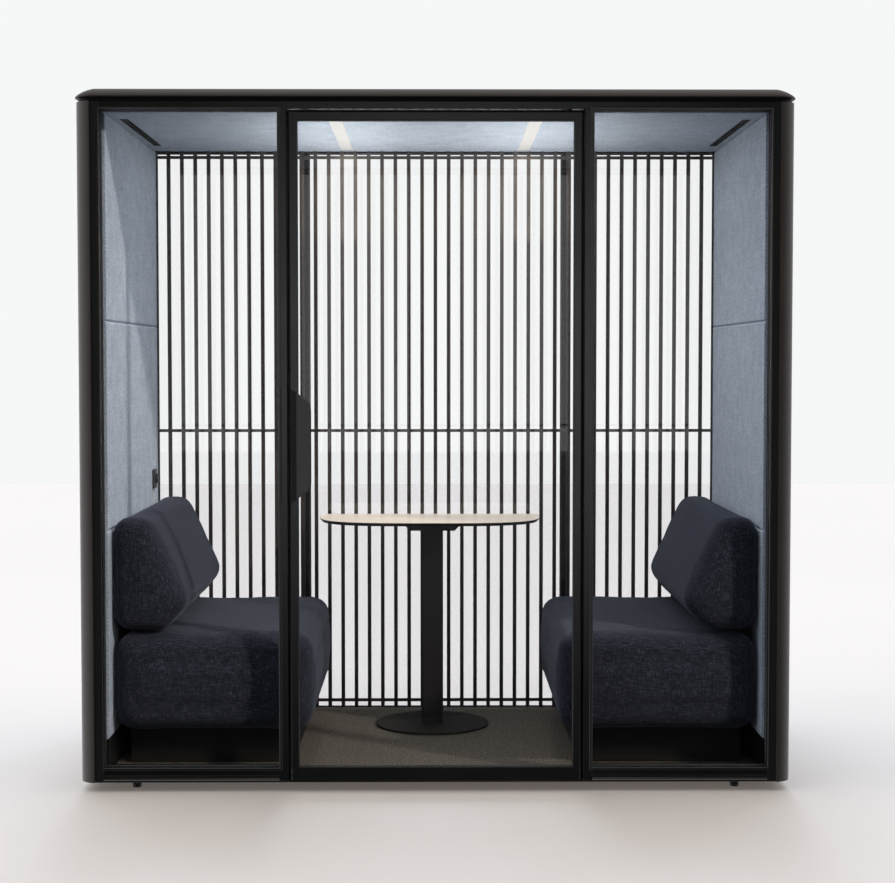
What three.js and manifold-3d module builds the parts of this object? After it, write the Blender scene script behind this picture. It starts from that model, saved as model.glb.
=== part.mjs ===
// An acoustic office pod: a glazed cabin with two facing sofas, a table and a pivot-hung glass door.
// Millimetres, +Z up. +X is to the right of a person facing the door, and the door faces -Y.
// Inside the pod's own group, Y is counted from the front of the corner posts and Z from the ground.
import * as THREE from "three";
import { mergeVertices } from "three/addons/utils/BufferGeometryUtils.js";
import Module from "manifold-3d";

// Overall size of the cabin, without the roof's small overhang
const WIDTH = 2300;
const DEPTH = 1200;
const HEIGHT = 2260;

// Clearances
const FIT = 0.3;
const DOOR_GAP = 4;
const THRESHOLD_GAP = 3;

// How far a cutter runs past the face that it cuts
const OVERCUT = 1;

// Points closer than this are taken as one
const MERGE_DISTANCE = 1e-4;

// Levels and heights
const FOOT_HEIGHT = 30;
const SILL_HEIGHT = 48;
const REAR_SILL_HEIGHT = 20;
const THRESHOLD_HEIGHT = 6;
const FLOOR_THICKNESS = 20;
const CARPET_THICKNESS = 6;
const HEADER_HEIGHT = 24;
const REAR_HEADER_HEIGHT = 33;
const SHADOW_GAP_HEIGHT = 12;
const ROOF_CAP_HEIGHT = 33;
const CEILING_DROP = 28;
const CEILING_THICKNESS = 12;
const SKIRTING_HEIGHT = 109;

// Corner posts and the frames between them
const CORNER_RADIUS = 60;
const CORNER_FACE = 49.5;
const JAMB_WIDTH = 28.5;
const FRAME_SETBACK = 8;
const FRONT_FRAME_DEPTH = 60;
const REAR_FRAME_DEPTH = 40;
const POST_WALL = 9;
const FRONT_MULLION_WIDTH = 29;
const FRONT_MULLION_SPACING = 980;
const REAR_MULLION_WIDTH = 33;
const REAR_MULLION_SPACING = 1000;

// Glass panes, with the depth that their edges enter the frames
const GLASS_THICKNESS = 10;
const GLASS_BITE = 8;
const FRONT_GLASS_SETBACK = 34;
const REAR_GLASS_SETBACK = 12;

// Roof
const ROOF_OVERHANG = 4;
const ROOF_EDGE_WIDTH = 60;
const ROOF_RIM = 3;
const ROOF_EDGE_STEPS = 6;
const ROOF_EDGE_POWER = 1.35;
const SHADOW_GAP_INSET = 9;

// Side walls
const WALL_THICKNESS = 89;
const OUTER_PANEL_THICKNESS = 18;
const PADS_PER_WALL = 3;
const PAD_HEIGHT = 680;
const SKIRTING_RECESS = 4;

// Levelling feet
const FOOT_SIDE_INSET = 173;
const FOOT_SETBACK = 84;
const FOOT_PAD_RADIUS = 15;
const FOOT_PAD_HEIGHT = 12;
const FOOT_STEM_RADIUS = 7;
const FOOT_STEM_INSERT = 10;

// Ceiling fittings
const LIGHT_SPACING = 668;
const LIGHT_WIDTH = 46;
const LIGHT_END_INSET = 105;
const LIGHT_THICKNESS = 8;
const VENT_WALL_INSET = 31;
const VENT_WIDTH = 30;
const VENT_END_INSET = 230;
const VENT_THICKNESS = 8;
const VENT_RIM = 5;
const VENT_BAR = 4;

// Roof fan
const FAN_HOUSING_WIDTH = 180;
const FAN_HOUSING_HEIGHT = 20;
const FAN_BORE_RADIUS = 75;
const FAN_STRUT_WIDTH = 9;
const FAN_STRUT_HEIGHT = 3;
const FAN_HUB_RADIUS = 24;
const FAN_HUB_HEIGHT = 13;
const FAN_SPINDLE_RADIUS = 4;
const FAN_BLADE_COUNT = 7;
const FAN_BLADE_WIDTH = 17;
const FAN_BLADE_THICKNESS = 2;
const FAN_BLADE_PITCH = THREE.MathUtils.degToRad(32);
const FAN_TIP_GAP = 5;
const FAN_POCKET_GAP = 6;

// Slat screen along the rear glass
const SLAT_PITCH = 50.75;
const SLAT_WIDTH = 14;
const SLAT_DEPTH = 10;
const SLAT_GAP_BEHIND = 6;
const SLAT_FLOOR_GAP = 7;
const SLAT_END_GAP = 20;
const SLAT_RAIL_HEIGHT = 11;
const SLAT_RAIL_LOW_MARGIN = 22;
const SLAT_RAIL_HIGH_MARGIN = 18;

// Sofas
const SEAT_DEPTH = 663;
const SEAT_REAR_GAP = 26;
const SEAT_HEIGHT = 450;
const SEAT_THICKNESS = 328;
const SEAT_SETBACK = 85;
const SEAT_WALL_GAP = 1;
const SEAT_EDGE_RADIUS = 62;
const SEAT_CROWN = 10;
const CUSHION_DRAW_IN = 5;
const BACK_HEIGHT = 376;
const BACK_TOP_DEPTH = 120;
const BACK_BULGE_DEPTH = 252;
const BACK_BULGE_HEIGHT = 88;
const BACK_FOOT_DEPTH = 172;
const BACK_EDGE_RADIUS = 52;
const BACK_CROWN = 9;
const PLINTH_FRONT_INSET = 77;
const PLINTH_WALL_INSET = 42;
const PLINTH_END_INSET = 129;
const CUSHION_ARC_STEPS = 5;
const CUSHION_EDGE_STEPS = 5;
const CUSHION_END_STEPS = 4;
const CUSHION_END_START = 0.06;
const CUSHION_END_TIGHTENING = 0.8;
const CUSHION_MIDDLE_STEPS = 5;

// Table
const TABLE_WIDTH = 820;
const TABLE_DEPTH = 400;
const TABLE_HEIGHT = 760;
const TABLE_THICKNESS = 12;
const TABLE_BEVEL = 8;
const TABLE_EDGE = 3;
const TABLE_REAR_RADIUS = 40;
const TABLE_FRONT_POWER = 3.4;
const TABLE_REAR_GAP = 69;
const TABLE_SIDE_SHIFT = -21;
const PEDESTAL_SIDE_SHIFT = 9;
const PEDESTAL_FORWARD_SHIFT = 19;
const SPIDER_LENGTH = 194;
const SPIDER_WIDTH = 150;
const SPIDER_THICKNESS = 25;
const SPIDER_CHAMFER = 16;
const COLUMN_WIDTH = 79;
const COLUMN_CORNER_RADIUS = 6;
const COLUMN_WALL = 3;
const TABLE_BASE_RADIUS = 207;
const TABLE_BASE_THICKNESS = 8;

// Light and fan control on the left wall
const CONTROL_LENGTH = 69;
const CONTROL_HEIGHT = 71;
const CONTROL_THICKNESS = 7;
const CONTROL_REAR_GAP = 111;
const CONTROL_LEVEL = 948;
const CONTROL_CORNER_RADIUS = 8;
const KNOB_RADIUS = 17.5;
const KNOB_LENGTH = 9;
const KNOB_SPINDLE_RADIUS = 4;
const KNOB_SPINDLE_LENGTH = 5;

// Door leaf, hung on a pivot pin at the top and bottom of its right side
const LEAF_THICKNESS = 34;
const LEAF_FRONT = 4;
const LEAF_STILE = 28;
const LEAF_TOP_RAIL = 31;
const LEAF_BOTTOM_RAIL = 39.5;
const LEAF_CHAMFER = 8;
const PIVOT_INSET = 45;
const PIVOT_RADIUS = 8;
const PIVOT_IN_LEAF = 20;
const PIVOT_IN_FRAME = 14;
const PIVOT_END_GAP = 1;

// Pull handle: a plate folded along an upright line
const HANDLE_LENGTH = 364;
const HANDLE_LEVEL = 1118;
const HANDLE_FLANGE = 22;
const HANDLE_BLADE = 60;
const HANDLE_THICKNESS = 6;
const HANDLE_FOLD = THREE.MathUtils.degToRad(38);
const HANDLE_SLOPE = 40;
const HANDLE_CORNER_RADIUS = 30;
const HANDLE_CORNER_LEAD = 10;
const HANDLE_EDGE_INSET = 6;

// Number of sides on round pieces
const ROUND_SIDES = 24;
const LARGE_ROUND_SIDES = 48;
const CORNER_STEPS = 6;

// Colours, with roughness and metalness
const GLASS_OPACITY = 0.25;
const FINISHES = {
  frame: ["#2a2827", 0.5, 0.3],
  shell: ["#4b4744", 0.55, 0.3],
  glass: ["#e4ecee", 0.05, 0],
  felt: ["#8d97a5", 0.95, 0],
  fabric: ["#33343a", 0.95, 0],
  carpet: ["#43413e", 1, 0],
  black: ["#161616", 0.7, 0],
  oak: ["#ddd2c7", 0.6, 0],
  steel: ["#262526", 0.5, 0.4],
  light: ["#f4f4f0", 0.6, 0],
  slat: ["#2b2724", 0.6, 0],
  rubber: ["#1b1b1b", 0.9, 0],
};

// Levels worked out from the heights
const BASE_Z = FOOT_HEIGHT;
const FLOOR_Z = BASE_Z + FLOOR_THICKNESS;
const CARPET_Z = FLOOR_Z - CARPET_THICKNESS;
const SILL_TOP_Z = BASE_Z + SILL_HEIGHT;
const REAR_SILL_TOP_Z = BASE_Z + REAR_SILL_HEIGHT;
const THRESHOLD_Z = BASE_Z + THRESHOLD_HEIGHT;
const SKIRTING_TOP_Z = FLOOR_Z + SKIRTING_HEIGHT;
const CAP_Z = HEIGHT - ROOF_CAP_HEIGHT;
const FRAME_TOP_Z = CAP_Z - SHADOW_GAP_HEIGHT;
const HEADER_Z = FRAME_TOP_Z - HEADER_HEIGHT;
const REAR_HEADER_Z = FRAME_TOP_Z - REAR_HEADER_HEIGHT;
const CEILING_Z = FRAME_TOP_Z - CEILING_DROP;

// Planes worked out from the widths and depths
const SIDE_X = WIDTH / 2;
const INNER_X = SIDE_X - WALL_THICKNESS;
const PANEL_X = SIDE_X - OUTER_PANEL_THICKNESS;
const JAMB_X = SIDE_X - CORNER_FACE - JAMB_WIDTH;
const FRONT_INNER_Y = FRAME_SETBACK + FRONT_FRAME_DEPTH;
const REAR_INNER_Y = DEPTH - FRAME_SETBACK - REAR_FRAME_DEPTH;
const REAR_FRAME_Y = DEPTH - FRAME_SETBACK;
const FRONT_GLASS_Y = FRONT_GLASS_SETBACK;
const REAR_GLASS_Y = DEPTH - REAR_GLASS_SETBACK - GLASS_THICKNESS;
const CABIN_MIDDLE_Y = DEPTH / 2;
const SLAT_REAR_Y = REAR_INNER_Y - SLAT_GAP_BEHIND;
const SLAT_FRONT_Y = SLAT_REAR_Y - SLAT_DEPTH;
const FRONT_MULLION_IN = (FRONT_MULLION_SPACING - FRONT_MULLION_WIDTH) / 2;
const FRONT_MULLION_OUT = (FRONT_MULLION_SPACING + FRONT_MULLION_WIDTH) / 2;
const REAR_MULLION_IN = (REAR_MULLION_SPACING - REAR_MULLION_WIDTH) / 2;
const REAR_MULLION_OUT = (REAR_MULLION_SPACING + REAR_MULLION_WIDTH) / 2;

// Door leaf, counted from its pivot
const LEAF_WIDTH = 2 * FRONT_MULLION_IN - 2 * DOOR_GAP;
const LEAF_Z = THRESHOLD_Z + THRESHOLD_GAP;
const LEAF_TOP_Z = HEADER_Z - DOOR_GAP;
const LEAF_RIGHT = PIVOT_INSET;
const LEAF_LEFT = PIVOT_INSET - LEAF_WIDTH;
const PIVOT_X = FRONT_MULLION_IN - DOOR_GAP - PIVOT_INSET;
const PIVOT_Y = LEAF_FRONT + LEAF_THICKNESS / 2;

const wasm = await Module();
wasm.setup();

// A closed surface as a solid that can be cut and joined.
function toSolid(geometry) {
  const bare = geometry.index ? geometry.toNonIndexed() : geometry.clone();
  bare.deleteAttribute("normal");
  bare.deleteAttribute("uv");
  const merged = mergeVertices(bare, MERGE_DISTANCE);
  const vertProperties = merged.attributes.position.array;
  const triVerts = new Uint32Array(merged.index.array);
  return new wasm.Manifold(new wasm.Mesh({ numProp: 3, vertProperties, triVerts }));
}

function toGeometry(solid) {
  const { vertProperties, triVerts } = solid.getMesh();
  const geometry = new THREE.BufferGeometry();
  geometry.setAttribute("position", new THREE.BufferAttribute(vertProperties.slice(), 3));
  geometry.setIndex([...triVerts]);
  geometry.computeVertexNormals();
  return geometry;
}

function cut(body, ...tools) {
  return toGeometry(tools.reduce((solid, tool) => solid.subtract(toSolid(tool)), toSolid(body)));
}

function join(...pieces) {
  return toGeometry(pieces.map(toSolid).reduce((whole, piece) => whole.add(piece)));
}

// A box between two limits on each axis.
function block(x, y, z) {
  const box = new THREE.BoxGeometry(x[1] - x[0], y[1] - y[0], z[1] - z[0]);
  return box.translate((x[0] + x[1]) / 2, (y[0] + y[1]) / 2, (z[0] + z[1]) / 2);
}

// A plan outline raised between two levels.
function slab(shape, z, curveSegments = CORNER_STEPS) {
  const settings = { depth: z[1] - z[0], bevelEnabled: false, curveSegments };
  return new THREE.ExtrudeGeometry(shape, settings).translate(0, 0, z[0]);
}

// An upright cylinder.
function rod(radius, z, sides = ROUND_SIDES) {
  const cylinder = new THREE.CylinderGeometry(radius, radius, z[1] - z[0], sides);
  return cylinder.rotateX(Math.PI / 2).translate(0, 0, (z[0] + z[1]) / 2);
}

// A cutter for a round hole: its flats, and not its corners, lie on the radius.
function bore(radius, z, sides = ROUND_SIDES) {
  return rod(radius / Math.cos(Math.PI / sides), z, sides);
}

function roundedRectangle(x, y, radius) {
  const shape = new THREE.Shape();
  shape.absarc(x[1] - radius, y[0] + radius, radius, -Math.PI / 2, 0, false);
  shape.absarc(x[1] - radius, y[1] - radius, radius, 0, Math.PI / 2, false);
  shape.absarc(x[0] + radius, y[1] - radius, radius, Math.PI / 2, Math.PI, false);
  shape.absarc(x[0] + radius, y[0] + radius, radius, Math.PI, 1.5 * Math.PI, false);
  shape.closePath();
  return shape;
}

function rectangle(x, y, kind = THREE.Shape) {
  return new kind([
    new THREE.Vector2(x[0], y[0]),
    new THREE.Vector2(x[1], y[0]),
    new THREE.Vector2(x[1], y[1]),
    new THREE.Vector2(x[0], y[1]),
  ]);
}

// Closed skin over rings of points that run from one end to the other, with a point in each end.
function skin(rings) {
  const count = rings[0].length;
  const centre = (ring) =>
    ring.reduce((sum, point) => sum.add(point), new THREE.Vector3()).divideScalar(count);
  const points = [...rings.flat(), centre(rings[0]), centre(rings.at(-1))];
  const faces = [];
  for (let i = 0; i < count; i += 1) {
    const next = (i + 1) % count;
    for (let ring = 0; ring < rings.length - 1; ring += 1) {
      const low = ring * count;
      const high = low + count;
      faces.push(low + i, low + next, high + next);
      faces.push(low + i, high + next, high + i);
    }
    const last = (rings.length - 1) * count;
    faces.push(points.length - 2, next, i);
    faces.push(points.length - 1, last + i, last + next);
  }
  const geometry = new THREE.BufferGeometry().setFromPoints(points);
  geometry.setIndex(faces);
  geometry.computeVertexNormals();
  return geometry;
}

function piece(name, finish, geometry) {
  const [color, roughness, metalness] = FINISHES[finish];
  const material = new THREE.MeshStandardMaterial({ color, roughness, metalness });
  if (finish === "glass") {
    material.transparent = true;
    material.opacity = GLASS_OPACITY;
  }
  const mesh = new THREE.Mesh(geometry, material);
  mesh.name = name;
  return mesh;
}

function mirrored(range) {
  return [-range[1], -range[0]];
}

// Base: a floor tray on four levelling feet, with carpet on top

function makeBase() {
  const base = new THREE.Group();
  const footX = SIDE_X - FOOT_SIDE_INSET;
  const places = {
    front_left: [-footX, FOOT_SETBACK],
    front_right: [footX, FOOT_SETBACK],
    rear_left: [-footX, DEPTH - FOOT_SETBACK],
    rear_right: [footX, DEPTH - FOOT_SETBACK],
  };
  const stemTop = BASE_Z + FOOT_STEM_INSERT;
  const sockets = Object.values(places).map(([x, y]) =>
    bore(FOOT_STEM_RADIUS + FIT, [BASE_Z - OVERCUT, stemTop + FIT]).translate(x, y, 0),
  );
  const tray = block(
    [-PANEL_X + FIT, PANEL_X - FIT],
    [FRONT_INNER_Y + FIT, REAR_INNER_Y - FIT],
    [BASE_Z, CARPET_Z - FIT],
  );
  base.add(piece("base_chassis", "black", cut(tray, ...sockets)));
  const carpetX = INNER_X + SKIRTING_RECESS - FIT;
  const carpet = block(
    [-carpetX, carpetX],
    [FRONT_INNER_Y + FIT, REAR_INNER_Y - FIT],
    [CARPET_Z, FLOOR_Z],
  );
  base.add(piece("carpet", "carpet", carpet));
  for (const [place, [x, y]] of Object.entries(places)) {
    const pad = rod(FOOT_PAD_RADIUS, [0, FOOT_PAD_HEIGHT]);
    const stem = rod(FOOT_STEM_RADIUS, [FOOT_PAD_HEIGHT / 2, stemTop]);
    const foot = piece(`levelling_foot_${place}`, "rubber", join(pad, stem));
    foot.position.set(x, y, 0);
    base.add(foot);
  }
  return base;
}

// Roof: a rounded cap on a recessed panel, with a fan under the cap

function roofRing(inset, z) {
  const grow = ROOF_OVERHANG - inset;
  const radius = Math.max(CORNER_RADIUS + grow, ROOF_RIM);
  const outline = roundedRectangle(
    [-SIDE_X - grow, SIDE_X + grow],
    [-grow, DEPTH + grow],
    radius,
  );
  const points = outline.extractPoints(CORNER_STEPS).shape;
  return points.slice(0, -1).map((point) => new THREE.Vector3(point.x, point.y, z));
}

function makeRoof() {
  const roof = new THREE.Group();
  const panelOutline = roundedRectangle(
    [-SIDE_X + SHADOW_GAP_INSET, SIDE_X - SHADOW_GAP_INSET],
    [SHADOW_GAP_INSET, DEPTH - SHADOW_GAP_INSET],
    CORNER_RADIUS - SHADOW_GAP_INSET,
  );
  const airHole = new THREE.Path().absarc(0, CABIN_MIDDLE_Y, FAN_BORE_RADIUS, 0, 2 * Math.PI);
  panelOutline.holes.push(airHole);
  const panel = slab(panelOutline, [FRAME_TOP_Z, CAP_Z - FIT]);
  roof.add(piece("roof_panel", "black", panel));

  // The cap's edge is a flattened quarter curve above a short upright rim.
  const curve = 2 / ROOF_EDGE_POWER;
  const rings = [roofRing(0, CAP_Z)];
  for (let step = 0; step <= ROOF_EDGE_STEPS; step += 1) {
    const angle = (step / ROOF_EDGE_STEPS) * (Math.PI / 2);
    const inset = ROOF_EDGE_WIDTH * (1 - Math.cos(angle) ** curve);
    const rise = (ROOF_CAP_HEIGHT - ROOF_RIM) * Math.sin(angle) ** curve;
    rings.push(roofRing(inset, CAP_Z + ROOF_RIM + rise));
  }
  const pocketHalf = FAN_HOUSING_WIDTH / 2 + FAN_POCKET_GAP;
  const pocket = block(
    [-pocketHalf, pocketHalf],
    [CABIN_MIDDLE_Y - pocketHalf, CABIN_MIDDLE_Y + pocketHalf],
    [CAP_Z - OVERCUT, CAP_Z + FAN_HOUSING_HEIGHT + FAN_POCKET_GAP],
  );
  roof.add(piece("roof_cap", "shell", cut(skin(rings), pocket)));
  roof.add(makeFan());
  return roof;
}

function makeFan() {
  const fan = new THREE.Group();
  fan.position.set(0, CABIN_MIDDLE_Y, CAP_Z);
  const half = FAN_HOUSING_WIDTH / 2;
  const outline = roundedRectangle([-half, half], [-half, half], FAN_POCKET_GAP);
  outline.holes.push(new THREE.Path().absarc(0, 0, FAN_BORE_RADIUS, 0, 2 * Math.PI));
  const ring = slab(outline, [0, FAN_HOUSING_HEIGHT]);
  const boss = rod(FAN_HUB_RADIUS, [0, FAN_STRUT_HEIGHT]);
  const spindleTop = FAN_HUB_HEIGHT;
  const spindle = rod(FAN_SPINDLE_RADIUS, [0, spindleTop]);
  const struts = [0, 1, 2].map((index) =>
    block(
      [0, FAN_BORE_RADIUS + FAN_POCKET_GAP],
      [-FAN_STRUT_WIDTH / 2, FAN_STRUT_WIDTH / 2],
      [0, FAN_STRUT_HEIGHT],
    ).rotateZ((index * 2 * Math.PI) / 3),
  );
  fan.add(piece("fan_housing", "black", join(ring, boss, spindle, ...struts)));

  const hubLow = FAN_STRUT_HEIGHT + FIT;
  const hub = rod(FAN_HUB_RADIUS, [hubLow, hubLow + FAN_HUB_HEIGHT]);
  const bladeTip = FAN_BORE_RADIUS - FAN_TIP_GAP;
  const blades = Array.from({ length: FAN_BLADE_COUNT }, (_, index) =>
    block(
      [FAN_HUB_RADIUS / 2, bladeTip],
      [-FAN_BLADE_WIDTH / 2, FAN_BLADE_WIDTH / 2],
      [-FAN_BLADE_THICKNESS / 2, FAN_BLADE_THICKNESS / 2],
    )
      .rotateX(FAN_BLADE_PITCH)
      .translate(0, 0, hubLow + FAN_HUB_HEIGHT / 2)
      .rotateZ((index * 2 * Math.PI) / FAN_BLADE_COUNT),
  );
  const spindleHole = bore(FAN_SPINDLE_RADIUS + FIT, [0, spindleTop + FIT]);
  fan.add(piece("fan_rotor", "black", cut(join(hub, ...blades), spindleHole)));
  return fan;
}

// Corner posts: hollow uprights with a rounded outer corner and a jamb that takes the glass edge

function postOutline(frameDepth, glassSetback) {
  const shape = new THREE.Shape();
  const centreX = SIDE_X - CORNER_RADIUS;
  const endAngle = Math.acos((CORNER_RADIUS - CORNER_FACE) / CORNER_RADIUS);
  const back = FRAME_SETBACK + frameDepth;
  const grooveX = JAMB_X + GLASS_BITE;
  const groove = [glassSetback - FIT, glassSetback + GLASS_THICKNESS + FIT];
  shape.absarc(centreX, CORNER_RADIUS, CORNER_RADIUS, -endAngle, 0, false);
  shape.lineTo(PANEL_X - FIT, CORNER_RADIUS);
  shape.lineTo(PANEL_X - FIT, back);
  shape.lineTo(JAMB_X, back);
  shape.lineTo(JAMB_X, groove[1]);
  shape.lineTo(grooveX, groove[1]);
  shape.lineTo(grooveX, groove[0]);
  shape.lineTo(JAMB_X, groove[0]);
  shape.lineTo(JAMB_X, FRAME_SETBACK);
  shape.lineTo(SIDE_X - CORNER_FACE, FRAME_SETBACK);
  shape.closePath();
  const hollowX = [grooveX + POST_WALL, PANEL_X - POST_WALL];
  const hollowY = [FRAME_SETBACK + POST_WALL, back - POST_WALL];
  shape.holes.push(rectangle(hollowX, hollowY, THREE.Path));
  return shape;
}

function makePosts() {
  const posts = new THREE.Group();
  const ends = {
    front: [FRONT_FRAME_DEPTH, FRONT_GLASS_SETBACK, 1],
    rear: [REAR_FRAME_DEPTH, REAR_GLASS_SETBACK, -1],
  };
  for (const [end, [frameDepth, glassSetback, turn]] of Object.entries(ends)) {
    const geometry = slab(postOutline(frameDepth, glassSetback), [BASE_Z, FRAME_TOP_Z - FIT]);
    for (const [side, hand] of [["left", -1], ["right", 1]]) {
      const post = piece(`corner_post_${end}_${side}`, "shell", geometry);
      post.scale.set(hand, turn, 1);
      post.position.y = turn < 0 ? DEPTH : 0;
      posts.add(post);
    }
  }
  return posts;
}

// Side walls: an outer panel, three upholstered acoustic pads and a skirting

function makeSideWall(side) {
  const wall = new THREE.Group();
  const outer = block(
    [PANEL_X, SIDE_X],
    [CORNER_RADIUS + FIT, DEPTH - CORNER_RADIUS - FIT],
    [BASE_Z, FRAME_TOP_Z - FIT],
  );
  wall.add(piece(`${side}_outer_panel`, "shell", outer));
  const alongY = [FRONT_INNER_Y + FIT, REAR_INNER_Y - FIT];
  const skirting = block(
    [INNER_X + SKIRTING_RECESS, PANEL_X - FIT],
    alongY,
    [CARPET_Z, SKIRTING_TOP_Z - FIT],
  );
  wall.add(piece(`${side}_skirting`, "black", skirting));
  // The lower pads are full height and the top one runs on to the ceiling
  for (let index = 0; index < PADS_PER_WALL; index += 1) {
    const low = SKIRTING_TOP_Z + index * PAD_HEIGHT;
    const high = index === PADS_PER_WALL - 1 ? CEILING_Z : low + PAD_HEIGHT;
    const pad = block([INNER_X, PANEL_X - FIT], alongY, [low, high - FIT]);
    wall.add(piece(`${side}_wall_pad_${index + 1}`, "felt", pad));
  }
  return wall;
}

// Ceiling: one acoustic panel with slots for two light strips and two air grilles

function makeCeiling() {
  const ceiling = new THREE.Group();
  const edgeX = PANEL_X - FIT;
  const z = [CEILING_Z, CEILING_Z + CEILING_THICKNESS];
  const panel = block([-edgeX, edgeX], [FRONT_INNER_Y + FIT, REAR_INNER_Y - FIT], z);
  const openings = [];
  const fittings = [
    ["light_strip", LIGHT_SPACING / 2, LIGHT_WIDTH, LIGHT_END_INSET],
    ["vent_grille", INNER_X - VENT_WALL_INSET, VENT_WIDTH, VENT_END_INSET],
  ];
  for (const [kind, centreX, width, endInset] of fittings) {
    for (const [side, hand] of [["left", -1], ["right", 1]]) {
      const x = [hand * centreX - width / 2, hand * centreX + width / 2];
      const y = [endInset, DEPTH - endInset];
      openings.push(block(x, y, [z[0] - OVERCUT, z[1] + OVERCUT]));
      const innerX = [x[0] + FIT, x[1] - FIT];
      const innerY = [y[0] + FIT, y[1] - FIT];
      if (kind === "light_strip") {
        const strip = block(innerX, innerY, [CEILING_Z, CEILING_Z + LIGHT_THICKNESS]);
        ceiling.add(piece(`${side}_${kind}`, "light", strip));
      } else {
        ceiling.add(piece(`${side}_${kind}`, "black", makeGrille(innerX, innerY)));
      }
    }
  }
  ceiling.add(piece("ceiling_panel", "felt", cut(panel, ...openings)));
  return ceiling;
}

function makeGrille(x, y) {
  const z = [CEILING_Z, CEILING_Z + VENT_THICKNESS];
  const middle = (x[0] + x[1]) / 2;
  const slotY = [y[0] + VENT_RIM, y[1] - VENT_RIM];
  const slots = [
    [x[0] + VENT_RIM, middle - VENT_BAR / 2],
    [middle + VENT_BAR / 2, x[1] - VENT_RIM],
  ];
  return cut(block(x, y, z), ...slots.map((slotX) => block(slotX, slotY, [z[0] - OVERCUT, z[1] + OVERCUT])));
}

// Frames: a sill and a header between the posts, with mullions standing between them

function frameBar(y, z, glassY, grooveZ) {
  const x = [-JAMB_X + FIT, JAMB_X - FIT];
  const groove = block(
    [x[0] - OVERCUT, x[1] + OVERCUT],
    [glassY - FIT, glassY + GLASS_THICKNESS + FIT],
    grooveZ,
  );
  return cut(block(x, y, z), groove);
}

function mullion(x, y, z, glassY, grooveSides) {
  const grooves = grooveSides.map((grooveSide) => {
    const edge = grooveSide < 0 ? x[0] : x[1];
    const grooveX =
      grooveSide < 0 ? [edge - OVERCUT, edge + GLASS_BITE] : [edge - GLASS_BITE, edge + OVERCUT];
    return block(
      grooveX,
      [glassY - FIT, glassY + GLASS_THICKNESS + FIT],
      [z[0] - OVERCUT, z[1] + OVERCUT],
    );
  });
  return cut(block(x, y, z), ...grooves);
}

// A pane whose edges enter the frame on all four sides.
function pane(x, glassY, z) {
  const reach = GLASS_BITE - FIT;
  return block(
    [x[0] - reach, x[1] + reach],
    [glassY, glassY + GLASS_THICKNESS],
    [z[0] - reach, z[1] + reach],
  );
}

function makeFrontScreen() {
  const screen = new THREE.Group();
  const y = [FRAME_SETBACK, FRONT_INNER_Y];
  const sill = frameBar(
    y,
    [BASE_Z, SILL_TOP_Z],
    FRONT_GLASS_Y,
    [SILL_TOP_Z - GLASS_BITE, SILL_TOP_Z + OVERCUT],
  );
  const doorway = block(
    [-FRONT_MULLION_OUT - FIT, FRONT_MULLION_OUT + FIT],
    [y[0] - OVERCUT, y[1] + OVERCUT],
    [THRESHOLD_Z, SILL_TOP_Z + OVERCUT],
  );
  const pinHole = bore(PIVOT_RADIUS + FIT, [BASE_Z - OVERCUT, THRESHOLD_Z + OVERCUT]);
  pinHole.translate(PIVOT_X, PIVOT_Y, 0);
  screen.add(piece("front_sill", "frame", cut(sill, doorway, pinHole)));

  // The groove for the fixed glass stops at the mullions, so the bar is plain over the door.
  const bar = block([-JAMB_X + FIT, JAMB_X - FIT], y, [HEADER_Z, FRAME_TOP_Z - FIT]);
  const groove = block(
    [FRONT_MULLION_OUT - GLASS_BITE, JAMB_X + OVERCUT],
    [FRONT_GLASS_Y - FIT, FRONT_GLASS_Y + GLASS_THICKNESS + FIT],
    [HEADER_Z - OVERCUT, HEADER_Z + GLASS_BITE],
  );
  const otherGroove = groove.clone().rotateZ(Math.PI).translate(0, 2 * FRONT_GLASS_Y + GLASS_THICKNESS, 0);
  const pinSocket = bore(PIVOT_RADIUS + FIT, [HEADER_Z - OVERCUT, HEADER_Z + PIVOT_IN_FRAME + FIT]);
  pinSocket.translate(PIVOT_X, PIVOT_Y, 0);
  screen.add(piece("front_header", "frame", cut(bar, groove, otherGroove, pinSocket)));

  const mullionX = [FRONT_MULLION_IN, FRONT_MULLION_OUT];
  const mullionZ = [THRESHOLD_Z + FIT, HEADER_Z - FIT];
  const bayX = [FRONT_MULLION_OUT, JAMB_X];
  const left = mullion(mirrored(mullionX), y, mullionZ, FRONT_GLASS_Y, [-1]);
  const right = mullion(mullionX, y, mullionZ, FRONT_GLASS_Y, [1]);
  screen.add(piece("front_mullion_left", "frame", left));
  screen.add(piece("front_mullion_right", "frame", right));
  const glassZ = [SILL_TOP_Z, HEADER_Z];
  screen.add(piece("front_glass_left", "glass", pane(mirrored(bayX), FRONT_GLASS_Y, glassZ)));
  screen.add(piece("front_glass_right", "glass", pane(bayX, FRONT_GLASS_Y, glassZ)));
  return screen;
}

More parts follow.
